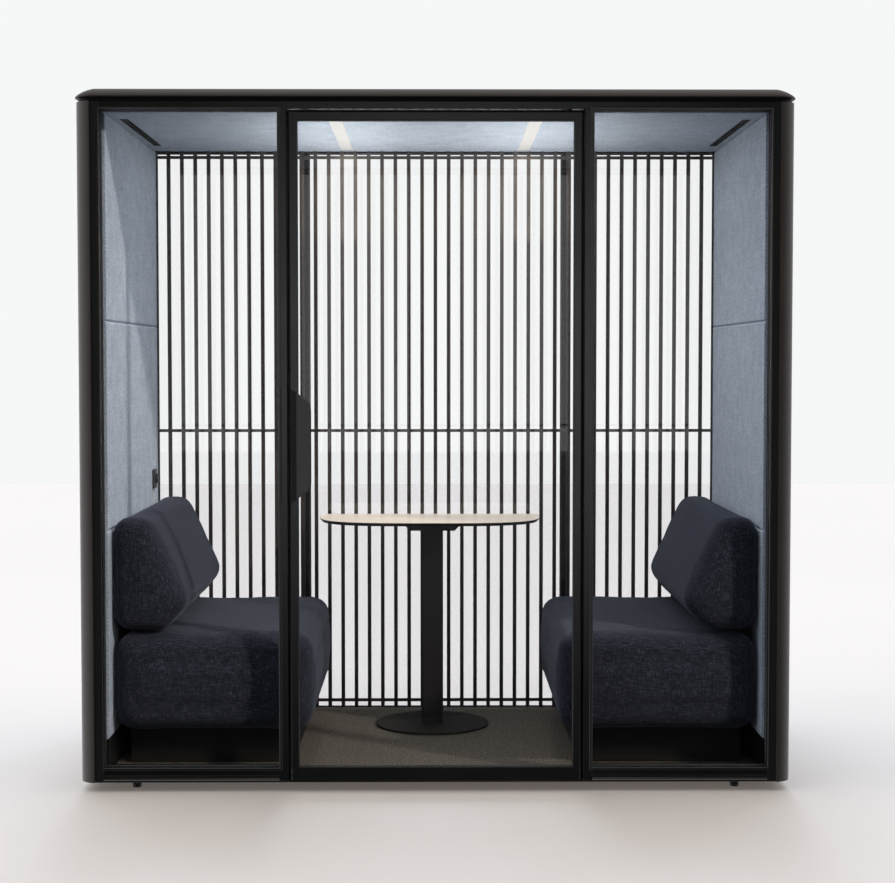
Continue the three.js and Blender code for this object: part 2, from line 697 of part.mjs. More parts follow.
function makeRearScreen() {
  const screen = new THREE.Group();
  const y = [REAR_INNER_Y, REAR_FRAME_Y];
  const sill = frameBar(
    y,
    [BASE_Z, REAR_SILL_TOP_Z],
    REAR_GLASS_Y,
    [REAR_SILL_TOP_Z - GLASS_BITE, REAR_SILL_TOP_Z + OVERCUT],
  );
  const header = frameBar(
    y,
    [REAR_HEADER_Z, FRAME_TOP_Z - FIT],
    REAR_GLASS_Y,
    [REAR_HEADER_Z - OVERCUT, REAR_HEADER_Z + GLASS_BITE],
  );
  screen.add(piece("rear_sill", "frame", sill));
  screen.add(piece("rear_header", "frame", header));
  const mullionX = [REAR_MULLION_IN, REAR_MULLION_OUT];
  const glassZ = [REAR_SILL_TOP_Z, REAR_HEADER_Z];
  const mullionZ = [glassZ[0] + FIT, glassZ[1] - FIT];
  const left = mullion(mirrored(mullionX), y, mullionZ, REAR_GLASS_Y, [-1, 1]);
  const right = mullion(mullionX, y, mullionZ, REAR_GLASS_Y, [-1, 1]);
  screen.add(piece("rear_mullion_left", "frame", left));
  screen.add(piece("rear_mullion_right", "frame", right));
  const bayX = [REAR_MULLION_OUT, JAMB_X];
  const middleX = [-REAR_MULLION_IN, REAR_MULLION_IN];
  screen.add(piece("rear_glass_left", "glass", pane(mirrored(bayX), REAR_GLASS_Y, glassZ)));
  screen.add(piece("rear_glass_centre", "glass", pane(middleX, REAR_GLASS_Y, glassZ)));
  screen.add(piece("rear_glass_right", "glass", pane(bayX, REAR_GLASS_Y, glassZ)));
  return screen;
}

// Slat screen: upright slats joined by three rails that run from wall to wall

function makeSlatScreen() {
  const low = FLOOR_Z + SLAT_FLOOR_GAP;
  const high = CEILING_Z - FIT;
  const y = [SLAT_FRONT_Y, SLAT_REAR_Y];
  const railX = INNER_X - FIT;
  const lowRail = low + SLAT_RAIL_LOW_MARGIN;
  const highRail = high - SLAT_RAIL_HIGH_MARGIN - SLAT_RAIL_HEIGHT;
  const rails = [lowRail, (lowRail + highRail) / 2, highRail].map((level) =>
    block([-railX, railX], y, [level, level + SLAT_RAIL_HEIGHT]),
  );
  const room = 2 * (INNER_X - SLAT_END_GAP) - SLAT_WIDTH;
  const gaps = Math.floor(room / SLAT_PITCH);
  const slats = Array.from({ length: gaps + 1 }, (_, index) => {
    const x = (index - gaps / 2) * SLAT_PITCH;
    return block([x - SLAT_WIDTH / 2, x + SLAT_WIDTH / 2], y, [low, high]);
  });
  return piece("slat_screen", "slat", join(...rails, ...slats));
}

// Sofas: a seat cushion on a plinth, and a back cushion that rests on the seat

// A convex outline's corners, moved inwards by the same distance on every side.
function insetCorners(corners, inset) {
  return corners.map((corner, index) => {
    const before = corners.at(index - 1);
    const after = corners[(index + 1) % corners.length];
    const along = corner.clone().sub(before).normalize();
    const onward = after.clone().sub(corner).normalize();
    const normal = new THREE.Vector2(-along.y - onward.y, along.x + onward.x);
    const share = 1 + along.dot(onward);
    return corner.clone().addScaledVector(normal, inset / share);
  });
}

// Points round an outline with rounded corners, whose edges swell out or are drawn in.
function softOutline(corners, radius, swells) {
  const points = [];
  const arcs = corners.map((corner, index) => {
    const before = corners.at(index - 1).clone().sub(corner).normalize();
    const after = corners[(index + 1) % corners.length].clone().sub(corner).normalize();
    const half = Math.acos(before.dot(after)) / 2;
    const reach = radius / Math.tan(half);
    const bisector = before.clone().add(after).normalize();
    return {
      centre: corner.clone().addScaledVector(bisector, radius / Math.sin(half)),
      start: corner.clone().addScaledVector(before, reach),
      end: corner.clone().addScaledVector(after, reach),
    };
  });
  arcs.forEach((arc, index) => {
    const from = arc.start.clone().sub(arc.centre).angle();
    const turn = (arc.end.clone().sub(arc.centre).angle() - from + 2 * Math.PI) % (2 * Math.PI);
    for (let step = 0; step <= CUSHION_ARC_STEPS; step += 1) {
      const angle = from + (turn * step) / CUSHION_ARC_STEPS;
      const spoke = new THREE.Vector2(Math.cos(angle), Math.sin(angle));
      points.push(arc.centre.clone().addScaledVector(spoke, radius));
    }
    const next = arcs[(index + 1) % arcs.length];
    const edge = next.start.clone().sub(arc.end);
    const outward = new THREE.Vector2(edge.y, -edge.x).normalize();
    for (let step = 1; step < CUSHION_EDGE_STEPS; step += 1) {
      const share = step / CUSHION_EDGE_STEPS;
      const swell = swells[index](share);
      points.push(arc.end.clone().addScaledVector(edge, share).addScaledVector(outward, swell));
    }
  });
  return points;
}

// A cushion: a rounded outline in the Z-X plane carried along Y, with rounded ends.
function makeCushion(corners, edgeRadius, edgeSwells, y) {
  const length = y[1] - y[0];
  const stations = [];
  for (let step = 0; step <= CUSHION_END_STEPS; step += 1) {
    const angle = (Math.max(step / CUSHION_END_STEPS, CUSHION_END_START) * Math.PI) / 2;
    const inset = edgeRadius * (1 - Math.sin(angle));
    stations.push({ run: edgeRadius * (1 - Math.cos(angle)), inset });
  }
  const straight = length - 2 * edgeRadius;
  const middle = Array.from({ length: CUSHION_MIDDLE_STEPS - 1 }, (_, index) => ({
    run: edgeRadius + (straight * (index + 1)) / CUSHION_MIDDLE_STEPS,
    inset: 0,
  }));
  const farEnd = stations.map(({ run, inset }) => ({ run: length - run, inset })).reverse();
  const rings = [...stations, ...middle, ...farEnd].map(({ run, inset }) => {
    const across = (2 * run) / length - 1;
    const fullness = 1 - across * across;
    const swells = edgeSwells.map((swell) => (share) => swell(share) * fullness);
    const radius = edgeRadius - inset * CUSHION_END_TIGHTENING;
    const outline = softOutline(insetCorners(corners, inset), radius, swells);
    return outline.map((point) => new THREE.Vector3(point.y, y[0] + run, point.x));
  });
  return skin(rings);
}

// How far an edge stands out at a share of its length: a bump that fades at both ends.
function bump(amount, end = 1) {
  return (share) => (share < end ? (amount * 4 * share * (end - share)) / (end * end) : 0);
}

function makeSofa(side) {
  const sofa = new THREE.Group();
  const wallX = INNER_X - SEAT_WALL_GAP;
  const frontX = wallX - SEAT_DEPTH;
  const y = [SEAT_SETBACK, SLAT_FRONT_Y - SEAT_REAR_GAP];
  const topZ = FLOOR_Z + SEAT_HEIGHT;
  const lowZ = topZ - SEAT_THICKNESS;
  const flat = () => 0;
  const drawnIn = bump(-CUSHION_DRAW_IN);

  const plinth = block(
    [frontX + PLINTH_FRONT_INSET, wallX - PLINTH_WALL_INSET],
    [y[0] + PLINTH_END_INSET, y[1] - PLINTH_END_INSET],
    [FLOOR_Z + FIT, lowZ - FIT],
  );
  sofa.add(piece(`${side}_seat_plinth`, "black", plinth));

  const seatCorners = [
    new THREE.Vector2(lowZ, frontX),
    new THREE.Vector2(topZ, frontX),
    new THREE.Vector2(topZ, wallX),
    new THREE.Vector2(lowZ, wallX),
  ];
  // The top is crowned only as far as the back cushion, which sits on a flat part.
  const openShare = 1 - (BACK_BULGE_DEPTH + SEAT_EDGE_RADIUS) / SEAT_DEPTH;
  const seatSwells = [drawnIn, bump(SEAT_CROWN, openShare), drawnIn, flat];
  const seat = makeCushion(seatCorners, SEAT_EDGE_RADIUS, seatSwells, y);
  sofa.add(piece(`${side}_seat_cushion`, "fabric", seat));

  const backLow = topZ + FIT;
  const backTop = backLow + BACK_HEIGHT;
  const backCorners = [
    new THREE.Vector2(backLow, wallX - BACK_FOOT_DEPTH),
    new THREE.Vector2(backLow + BACK_BULGE_HEIGHT, wallX - BACK_BULGE_DEPTH),
    new THREE.Vector2(backTop, wallX - BACK_TOP_DEPTH),
    new THREE.Vector2(backTop, wallX),
    new THREE.Vector2(backLow, wallX),
  ];
  const backSwells = [flat, bump(BACK_CROWN), bump(CUSHION_DRAW_IN / 2), drawnIn, flat];
  const back = makeCushion(backCorners, BACK_EDGE_RADIUS, backSwells, y);
  sofa.add(piece(`${side}_back_cushion`, "fabric", back));
  return sofa;
}

// Table: a soft D-shaped top on a spider, a hollow column and a round foot plate

function tableOutline(inset) {
  const shape = new THREE.Shape();
  const halfX = TABLE_WIDTH / 2 - inset;
  const rear = TABLE_DEPTH / 2 - inset;
  const radius = TABLE_REAR_RADIUS - inset;
  const widest = rear - radius;
  const frontReach = widest + TABLE_DEPTH / 2 - inset;
  shape.absarc(halfX - radius, widest, radius, 0, Math.PI / 2, false);
  shape.absarc(radius - halfX, widest, radius, Math.PI / 2, Math.PI, false);
  const steps = LARGE_ROUND_SIDES / 2;
  for (let step = 1; step < steps; step += 1) {
    const angle = Math.PI + (Math.PI * step) / steps;
    const power = 2 / TABLE_FRONT_POWER;
    const x = Math.sign(Math.cos(angle)) * Math.abs(Math.cos(angle)) ** power * halfX;
    shape.lineTo(x, widest - Math.abs(Math.sin(angle)) ** power * frontReach);
  }
  shape.closePath();
  return shape;
}

function makeTable() {
  const table = new THREE.Group();
  table.position.set(TABLE_SIDE_SHIFT, SLAT_FRONT_Y - TABLE_REAR_GAP - TABLE_DEPTH / 2, FLOOR_Z);
  const underside = TABLE_HEIGHT - TABLE_THICKNESS;
  const ring = (inset, z) => {
    const points = tableOutline(inset).extractPoints(CORNER_STEPS).shape;
    return points.map((point) => new THREE.Vector3(point.x, point.y, z));
  };
  const top = skin([
    ring(TABLE_BEVEL, underside),
    ring(0, TABLE_HEIGHT - TABLE_EDGE),
    ring(0, TABLE_HEIGHT),
  ]);
  table.add(piece("table_top", "oak", top));

  const spiderLow = underside - FIT - SPIDER_THICKNESS;
  const spiderX = SPIDER_LENGTH / 2;
  const spiderSide = new THREE.Shape([
    new THREE.Vector2(-spiderX + SPIDER_CHAMFER, spiderLow),
    new THREE.Vector2(spiderX - SPIDER_CHAMFER, spiderLow),
    new THREE.Vector2(spiderX, spiderLow + SPIDER_CHAMFER),
    new THREE.Vector2(spiderX, underside - FIT),
    new THREE.Vector2(-spiderX, underside - FIT),
    new THREE.Vector2(-spiderX, spiderLow + SPIDER_CHAMFER),
  ]);
  const spider = slab(spiderSide, [0, SPIDER_WIDTH]).rotateX(Math.PI / 2);
  spider.translate(0, SPIDER_WIDTH / 2, 0);
  const pedestal = new THREE.Group();
  pedestal.position.set(PEDESTAL_SIDE_SHIFT, -PEDESTAL_FORWARD_SHIFT, 0);
  pedestal.add(piece("table_spider", "steel", spider));

  const columnZ = [FIT + TABLE_BASE_THICKNESS + FIT, spiderLow - FIT];
  const half = COLUMN_WIDTH / 2;
  const hollow = half - COLUMN_WALL;
  const innerRadius = COLUMN_CORNER_RADIUS - COLUMN_WALL;
  const outside = slab(roundedRectangle([-half, half], [-half, half], COLUMN_CORNER_RADIUS), columnZ);
  const longer = [columnZ[0] - OVERCUT, columnZ[1] + OVERCUT];
  const inside = slab(roundedRectangle([-hollow, hollow], [-hollow, hollow], innerRadius), longer);
  pedestal.add(piece("table_column", "steel", cut(outside, inside)));
  const plate = rod(TABLE_BASE_RADIUS, [FIT, FIT + TABLE_BASE_THICKNESS], LARGE_ROUND_SIDES);
  pedestal.add(piece("table_base", "steel", plate));
  table.add(pedestal);
  return table;
}

// Control: a plate on the left wall with one turning knob, both facing into the cabin

function makeControl() {
  const control = new THREE.Group();
  control.position.set(-INNER_X + FIT, SLAT_FRONT_Y - CONTROL_REAR_GAP, CONTROL_LEVEL);
  control.rotation.y = Math.PI / 2;
  const halfZ = CONTROL_HEIGHT / 2;
  const halfY = CONTROL_LENGTH / 2;
  const outline = roundedRectangle([-halfZ, halfZ], [-halfY, halfY], CONTROL_CORNER_RADIUS);
  const plate = slab(outline, [0, CONTROL_THICKNESS]);
  const spindleLow = CONTROL_THICKNESS + FIT - KNOB_SPINDLE_LENGTH;
  const spindleHole = bore(KNOB_SPINDLE_RADIUS + FIT, [spindleLow - FIT, CONTROL_THICKNESS + OVERCUT]);
  control.add(piece("control_plate", "black", cut(plate, spindleHole)));
  const knobZ = [CONTROL_THICKNESS + FIT, CONTROL_THICKNESS + FIT + KNOB_LENGTH];
  const spindle = rod(KNOB_SPINDLE_RADIUS, [spindleLow, knobZ[1]]);
  control.add(piece("control_knob", "black", join(rod(KNOB_RADIUS, knobZ), spindle)));
  return control;
}

// Door: a framed glass leaf that turns about two pins, with a folded pull handle

function makeDoor() {
  const door = new THREE.Group();
  door.position.set(PIVOT_X, PIVOT_Y, 0);
  const front = -LEAF_THICKNESS / 2;
  const plan = new THREE.Shape([
    new THREE.Vector2(LEAF_LEFT + LEAF_CHAMFER, front),
    new THREE.Vector2(LEAF_RIGHT - LEAF_CHAMFER, front),
    new THREE.Vector2(LEAF_RIGHT, front + LEAF_CHAMFER),
    new THREE.Vector2(LEAF_RIGHT, -front - LEAF_CHAMFER),
    new THREE.Vector2(LEAF_RIGHT - LEAF_CHAMFER, -front),
    new THREE.Vector2(LEAF_LEFT + LEAF_CHAMFER, -front),
    new THREE.Vector2(LEAF_LEFT, -front - LEAF_CHAMFER),
    new THREE.Vector2(LEAF_LEFT, front + LEAF_CHAMFER),
  ]);
  const openX = [LEAF_LEFT + LEAF_STILE, LEAF_RIGHT - LEAF_STILE];
  const openZ = [LEAF_Z + LEAF_BOTTOM_RAIL, LEAF_TOP_Z - LEAF_TOP_RAIL];
  const opening = block(openX, [front - OVERCUT, OVERCUT - front], openZ);
  const grown = (range, amount) => [range[0] - amount, range[1] + amount];
  const glassY = [-GLASS_THICKNESS / 2, GLASS_THICKNESS / 2];
  const groove = block(grown(openX, GLASS_BITE), grown(glassY, FIT), grown(openZ, GLASS_BITE));
  const topHole = bore(PIVOT_RADIUS + FIT, [LEAF_TOP_Z - PIVOT_IN_LEAF - FIT, LEAF_TOP_Z + OVERCUT]);
  const bottomHole = bore(PIVOT_RADIUS + FIT, [LEAF_Z - OVERCUT, LEAF_Z + PIVOT_IN_LEAF + FIT]);
  const leaf = slab(plan, [LEAF_Z, LEAF_TOP_Z]);
  const bevel = new THREE.Shape([
    new THREE.Vector2(front - OVERCUT, LEAF_TOP_Z - LEAF_CHAMFER - OVERCUT),
    new THREE.Vector2(front + LEAF_CHAMFER + OVERCUT, LEAF_TOP_Z + OVERCUT),
    new THREE.Vector2(front - OVERCUT, LEAF_TOP_Z + OVERCUT),
  ]);
  const bevelX = [LEAF_LEFT - OVERCUT, LEAF_RIGHT + OVERCUT];
  const topBevel = slab(bevel, bevelX).rotateX(Math.PI / 2).rotateZ(Math.PI / 2);
  door.add(piece("door_frame", "frame", cut(leaf, topBevel, opening, groove, topHole, bottomHole)));
  const reach = GLASS_BITE - FIT;
  door.add(piece("door_glass", "glass", block(grown(openX, reach), glassY, grown(openZ, reach))));

  const topPinZ = [LEAF_TOP_Z - PIVOT_IN_LEAF, HEADER_Z + PIVOT_IN_FRAME - PIVOT_END_GAP];
  const bottomPinZ = [BASE_Z + PIVOT_END_GAP, LEAF_Z + PIVOT_IN_LEAF];
  door.add(piece("door_pivot_pin_top", "steel", rod(PIVOT_RADIUS, topPinZ)));
  door.add(piece("door_pivot_pin_bottom", "steel", rod(PIVOT_RADIUS, bottomPinZ)));
  door.add(makeHandle(front));
  return door;
}

// The handle's fold line is upright. Its flange lies on the stile and its blade stands out from it.
function makeHandle(leafFront) {
  const half = HANDLE_LENGTH / 2;
  const flangeSlope = (HANDLE_SLOPE * HANDLE_FLANGE) / (HANDLE_FLANGE + HANDLE_BLADE);
  const foldHalf = half - flangeSlope;
  const tipHalf = half - HANDLE_SLOPE;
  const upright = (shape) => slab(shape, [0, HANDLE_THICKNESS]).rotateX(Math.PI / 2);
  const flange = upright(
    new THREE.Shape([
      new THREE.Vector2(-HANDLE_FLANGE, -half),
      new THREE.Vector2(0, -foldHalf),
      new THREE.Vector2(0, foldHalf),
      new THREE.Vector2(-HANDLE_FLANGE, half),
    ]),
  );
  const bladeShape = new THREE.Shape();
  bladeShape.moveTo(0, -foldHalf);
  bladeShape.lineTo(HANDLE_BLADE - HANDLE_CORNER_RADIUS, -tipHalf - HANDLE_CORNER_LEAD);
  bladeShape.quadraticCurveTo(
    HANDLE_BLADE,
    -tipHalf,
    HANDLE_BLADE,
    -tipHalf + HANDLE_CORNER_RADIUS,
  );
  bladeShape.lineTo(HANDLE_BLADE, tipHalf - HANDLE_CORNER_RADIUS);
  bladeShape.quadraticCurveTo(
    HANDLE_BLADE,
    tipHalf,
    HANDLE_BLADE - HANDLE_CORNER_RADIUS,
    tipHalf + HANDLE_CORNER_LEAD,
  );
  bladeShape.lineTo(0, foldHalf);
  const blade = upright(bladeShape).rotateZ(-HANDLE_FOLD);
  const handle = piece("door_handle", "steel", join(flange, blade));
  handle.position.x = LEAF_LEFT + HANDLE_EDGE_INSET + HANDLE_FLANGE;
  handle.position.y = leafFront - FIT;
  handle.position.z = HANDLE_LEVEL;
  return handle;
}

const pod = new THREE.Group();
pod.add(makeBase(), makeRoof(), makePosts(), makeCeiling());
for (const [side, hand] of [["left", -1], ["right", 1]]) {
  const half = new THREE.Group();
  half.scale.x = hand;
  half.add(makeSideWall(side), makeSofa(side));
  pod.add(half);
}
pod.add(makeFrontScreen(), makeRearScreen(), makeSlatScreen(), makeTable(), makeControl(), makeDoor());

// The part's origin is on the ground under the middle of its box, which takes in the handle.
const bladeReach = HANDLE_BLADE * Math.sin(HANDLE_FOLD) + HANDLE_THICKNESS * Math.cos(HANDLE_FOLD);
const frontmost = LEAF_FRONT - FIT - bladeReach;
const rearmost = DEPTH + ROOF_OVERHANG;
pod.position.y = -(frontmost + rearmost) / 2;

const part = new THREE.Group();
part.add(pod);

export default part;
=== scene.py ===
"""Acoustic office pod: finishes, upholstery, trims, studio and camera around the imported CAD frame."""

import math

import bmesh
import bpy
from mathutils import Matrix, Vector


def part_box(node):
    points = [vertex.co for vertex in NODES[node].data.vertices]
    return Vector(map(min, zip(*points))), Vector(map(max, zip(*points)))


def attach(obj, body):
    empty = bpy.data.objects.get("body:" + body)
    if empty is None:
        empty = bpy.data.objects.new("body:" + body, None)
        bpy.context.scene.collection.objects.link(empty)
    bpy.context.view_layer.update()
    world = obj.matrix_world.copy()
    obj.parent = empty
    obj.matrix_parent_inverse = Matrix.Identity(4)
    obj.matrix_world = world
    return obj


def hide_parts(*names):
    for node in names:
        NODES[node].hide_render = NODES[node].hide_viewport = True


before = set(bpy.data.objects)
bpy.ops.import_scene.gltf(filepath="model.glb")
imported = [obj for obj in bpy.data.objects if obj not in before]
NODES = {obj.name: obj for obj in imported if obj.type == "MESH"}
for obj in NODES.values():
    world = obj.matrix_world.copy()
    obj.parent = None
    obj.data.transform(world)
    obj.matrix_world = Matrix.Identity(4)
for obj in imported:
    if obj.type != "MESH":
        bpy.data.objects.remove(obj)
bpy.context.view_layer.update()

SCENE = bpy.context.scene
MM = 0.001
SIDES = {"left": -1, "right": 1}
PADS = (1, 2, 3)

# Camera, fitted to the photograph's own lines. Angles here and below are in degrees.
CAMERA_PLACE = (-0.0092, -6.337, 1.390)
CAMERA_TILT_DOWN = 2.561
CAMERA_TURN_RIGHT = 0.461
CAMERA_LENS = 72.40
SENSOR_WIDTH = 36.0

# Floor: the shades that the eye sees and their cloud in millimetres, the shade that light bounces from,
# and the glow that lifts its shadows
FLOOR_REACH = 14.0
FLOOR_SHADES = ("#c4bdb7", "#c6bfb9")
FLOOR_CLOUD = 4000
FLOOR_BOUNCE = "#4a4846"
SHADOW_LIFT = 0.11
SHADOW_LIFT_COLOUR = "#ffefe4"

# Wash: suns from behind that light the floor alone, given by their turns and shares of the strength
WASH_STRENGTH = 6.8
WASH_HEIGHT = 22.0
WASH_SOFTNESS = 26.0
WASH_SHARES = {-24.0: 0.2, 0.0: 0.6, 24.0: 0.2}
WASH_COLOUR = "#d2e5fa"

# Key: the sun that reaches in through the front glass
SUN_HEIGHT = 31.0
SUN_FROM_RIGHT = 52.0
SUN_STRENGTH = 1.7
SUN_SOFTNESS = 4.0
SUN_COLOUR = "#fff4e6"

# Room: a spread is the cosine of the angle from its axis where a change starts and where it ends
BACKDROP_WHITE = "#f6f7f7"
ROOM_COLOUR = "#fbfcff"
ROOM_LEVEL = 1.4
ROOM_FRONT_LEVEL = 0.03
ROOM_FRONT_AXIS = (0.15, -1.0, 0.0)
ROOM_FRONT_SPREAD = (0.2, 0.85)
ROOM_RIGHT_SHARE = 0.7
ROOM_RIGHT_SPREAD = (-0.5, 1.0)
WINDOW_LEVEL = 1.7
WINDOW_AXIS = (0.012, -1.0, 0.0)
WINDOW_SPREAD = (0.987, 0.998)

# Lamps at the light strips
STRIP_COLOUR = "#fffaf0"
STRIP_WATTS = 5.2
STRIP_DROP = 2 * MM
CEILING_GLOW_WATTS = 3.7
CEILING_GLOW_DROP = 0.35

# Edges: faces that meet below the flat angle become one, and edges over the sharp angle are eased
FLAT_ANGLE = 0.3
CREASE_ANGLE = 35.0
SHARP_ANGLE = 40.0
EASE_SEGMENTS = 2
WELD_DISTANCE = 0.01 * MM
TRIM_EASE = 0.4 * MM
SEAL_EASE = 0.1 * MM

# Wall pads and ceiling
PAD_STEPS = 12
PAD_CHAMFER = 6 * MM
PAD_EASE = 1.5 * MM
PAD_CROWN = 1.0 * MM
CEILING_EASE = 1.2 * MM

# Carpet: its dip at the edges, and its shallow waves in radians per metre across and along
CARPET_EASE = 0.6 * MM
CARPET_EDGE_DIP = 0.5 * MM
CARPET_DIP = 0.15 * MM
CARPET_WAVES = (37, 41)
CARPET_WAVE_START = 3
CARPET_STEPS = (48, 26)

# Cushions
VOXEL = 10 * MM
RELAX_ROUNDS = 4
START_INSET = 3 * MM
SWELL_LIMIT = 5 * MM
TIGHTEN_ROUNDS = 3
SEAT_CLEARANCE = 0.4 * MM
SIM_FRAMES = 20

# Table top
TABLE_BEVEL = 8 * MM
TABLE_EDGE = 3 * MM
TABLE_EDGE_EASE = 0.5 * MM
TABLE_ARRIS = 0.8 * MM
TABLE_ARRIS_MIDDLE = 0.25 * MM
TABLE_FACE_MARGIN = 0.1 * MM
TABLE_REAR_RADIUS = 40 * MM
TABLE_REAR_STEPS = 12
TABLE_FRONT_POWER = 3.4
TABLE_FRONT_STEPS = 72

# How far the frames cover the panes, and the wedge of the glazing beads
GLASS_BITE = 8 * MM
BEAD = 3 * MM
BEAD_NOSE = 0.35 * BEAD
BEAD_GAP = 0.2 * MM

# Sections of the trims in millimetres, as each trim's own function lays them out
FRAME_BEAD = [(0.0, 0.0), (0.0, 1.2), (2.0, 3.0), (7.5, 3.0), (9.5, 1.0), (9.5, 0.0)]
SILL_NOSE = [(0.0, 54.0), (3.5, 47.0), (3.5, 40.0), (0.0, 36.0)]
DOOR_SEAL = [(0.05, 1.0), (0.5, 1.0), (0.5, 52.0), (0.05, 52.0)]
SLAT_CHANNEL = [(0.3, 0.5), (7.0, 0.5), (7.0, 2.5), (2.3, 2.5), (2.3, 8.5), (0.3, 8.5)]
DOOR_SEAL_SPAN = (40 * MM, 2190 * MM)

# Share of the glass that the eye looks straight through, as it does at a coated pane
GLASS_CLEARNESS = 0.94

# Distance from the pod's middle at which a corner post's round bronze face gives way to its flange, painted
# black as shade for the dark that the flat faces show
POST_SHADE_SPLIT = 1100.4 * MM

# Range that most of a noise pattern lies in
PATTERN_LOW = 0.3
PATTERN_HIGH = 0.7


# Meshes

def link_piece(name, mesh, materials, body, replaces=()):
    """Puts a finished mesh in the scene as one piece that rides on a body and may stand for CAD nodes."""
    made = bpy.data.objects.new(name, mesh)
    SCENE.collection.objects.link(made)
    for material in materials:
        mesh.materials.append(material)
    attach(made, body)
    if replaces:
        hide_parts(*replaces)
    return made


def mesh_from(name, points, faces):
    """A flat shaded mesh from plain points and faces, with its normals turned outward."""
    mesh = bpy.data.meshes.new(name)
    mesh.from_pydata([tuple(point) for point in points], [], faces)
    form = bmesh.new()
    form.from_mesh(mesh)
    bmesh.ops.recalc_face_normals(form, faces=form.faces)
    form.to_mesh(mesh)
    form.free()
    mesh.shade_flat()
    return mesh


def loft(name, rings, closed_loop=False):
    """Skins equal rings of points. The ends are capped, or the last ring joins the first."""
    count = len(rings[0])
    points = [point for ring in rings for point in ring]
    faces = []
    spans = len(rings) if closed_loop else len(rings) - 1
    for row in range(spans):
        low = row * count
        high = ((row + 1) % len(rings)) * count
        for step in range(count):
            after = (step + 1) % count
            faces.append((low + step, low + after, high + after, high + step))
    if not closed_loop:
        faces.append(tuple(reversed(range(count))))
        faces.append(tuple(range(len(points) - count, len(points))))
    return mesh_from(name, points, faces)


def mitred_ring(name, across, up, face, outward, section):
    """One section carried round an upright rectangle and mitred at its corners.

    A section point is how far it lies outside the rectangle, and how far it stands off the face.
    """
    rings = []
    for x, z, right, rise in (
        (across[0], up[0], -1, -1),
        (across[1], up[0], 1, -1),
        (across[1], up[1], 1, 1),
        (across[0], up[1], -1, 1),
    ):
        rings.append([Vector((x + right * a, face + outward * b, z + rise * a)) for a, b in section])
    return loft(name, rings, closed_loop=True)


def ease_edges(made, width):
    """Rounds the sharp edges a little, as paint, felt or machining leaves them, and smooths every curve."""
    weld = made.modifiers.new("weld", "WELD")
    weld.merge_threshold = WELD_DISTANCE
    flat = made.modifiers.new("one face per flat", "DECIMATE")
    flat.decimate_type = "DISSOLVE"
    flat.angle_limit = math.radians(FLAT_ANGLE)
    smooth = made.modifiers.new("smooth curves", "NODES")
    smooth.node_group = SMOOTH_CURVES
    bevel = made.modifiers.new("eased edges", "BEVEL")
    bevel.width = width
    bevel.segments = EASE_SEGMENTS
    bevel.limit_method = "ANGLE"
    bevel.angle_limit = math.radians(SHARP_ANGLE)
    bevel.harden_normals = True
    bevel.use_clamp_overlap = True


# Nodes

def linear(hex_colour):
    """An sRGB hex colour as linear red, green, blue and full alpha."""
    channels = [int(hex_colour[at:at + 2], 16) / 255 for at in (1, 3, 5)]
    return [c / 12.92 if c <= 0.04045 else ((c + 0.055) / 1.055) ** 2.4 for c in channels] + [1.0]


def add(tree, kind, inputs=None, stops=(), **settings):
    """Adds one node: settings are its properties, inputs are values or other nodes' outputs.

    Stops are for a colour ramp, as pairs of position and hex colour.
    """
    node = tree.nodes.new(kind)
    for name, value in settings.items():
        setattr(node, name, value)
    for key, value in (inputs or {}).items():
        if isinstance(value, bpy.types.NodeSocket):
            tree.links.new(value, node.inputs[key])
        else:
            node.inputs[key].default_value = value
    if stops:
        elements = node.color_ramp.elements
        while len(elements) < len(stops):
            elements.new(0.5)
        for element, (position, colour) in zip(elements, stops):
            element.position = position
            element.color = linear(colour)
    return node


def per_metre(millimetres):
    """The texture scale that makes a pattern of this size."""
    return 1000.0 / millimetres


def from_to(dark, light):
    """Ramp stops that take a noise pattern from one colour to another."""
    return [(PATTERN_LOW, dark), (PATTERN_HIGH, light)]


def smoothing_group():
    """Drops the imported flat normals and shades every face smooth, but for edges over the crease angle."""
    group = bpy.data.node_groups.new("smooth_curves", "GeometryNodeTree")
    group.interface.new_socket("Geometry", in_out="INPUT", socket_type="NodeSocketGeometry")
    group.interface.new_socket("Geometry", in_out="OUTPUT", socket_type="NodeSocketGeometry")
    start = add(group, "NodeGroupInput")
    bare = add(group, "GeometryNodeRemoveAttribute", {0: start.outputs[0], "Name": "custom_normal"})
    shaded = add(group, "GeometryNodeSetShadeSmooth", {0: bare.outputs[0], "Shade Smooth": True})
    angle = add(group, "GeometryNodeInputMeshEdgeAngle")
    sharp = add(
        group,
        "ShaderNodeMath",
        {0: angle.outputs[0], 1: math.radians(CREASE_ANGLE)},
        operation="GREATER_THAN",
    )
    creased = add(
        group,
        "GeometryNodeSetShadeSmooth",
        {0: shaded.outputs[0], "Selection": sharp.outputs[0], "Shade Smooth": False},
        domain="EDGE",
    )
    add(group, "NodeGroupOutput", {0: creased.outputs[0]})
    return group


SMOOTH_CURVES = smoothing_group()


# Materials

def new_material(name, sockets):
    """A material with one main shader, its plain sockets set, and its place in the object ready to use."""
    material = bpy.data.materials.new(name)
    material.use_nodes = True
    tree = material.node_tree
    shader = tree.nodes["Principled BSDF"]
    for socket, value in sockets.items():
        shader.inputs[socket].default_value = value
    place = add(tree, "ShaderNodeTexCoord").outputs["Object"]
    return material, tree, shader, place


def dress(tree, shader, colour, height, strength, depth):
    """Gives the main shader its colour pattern and the fine relief of its surface."""
    tree.links.new(colour, shader.inputs["Base Color"])
    relief = add(tree, "ShaderNodeBump", {"Strength": strength, "Distance": depth, "Height": height})
    tree.links.new(relief.outputs[0], shader.inputs["Normal"])


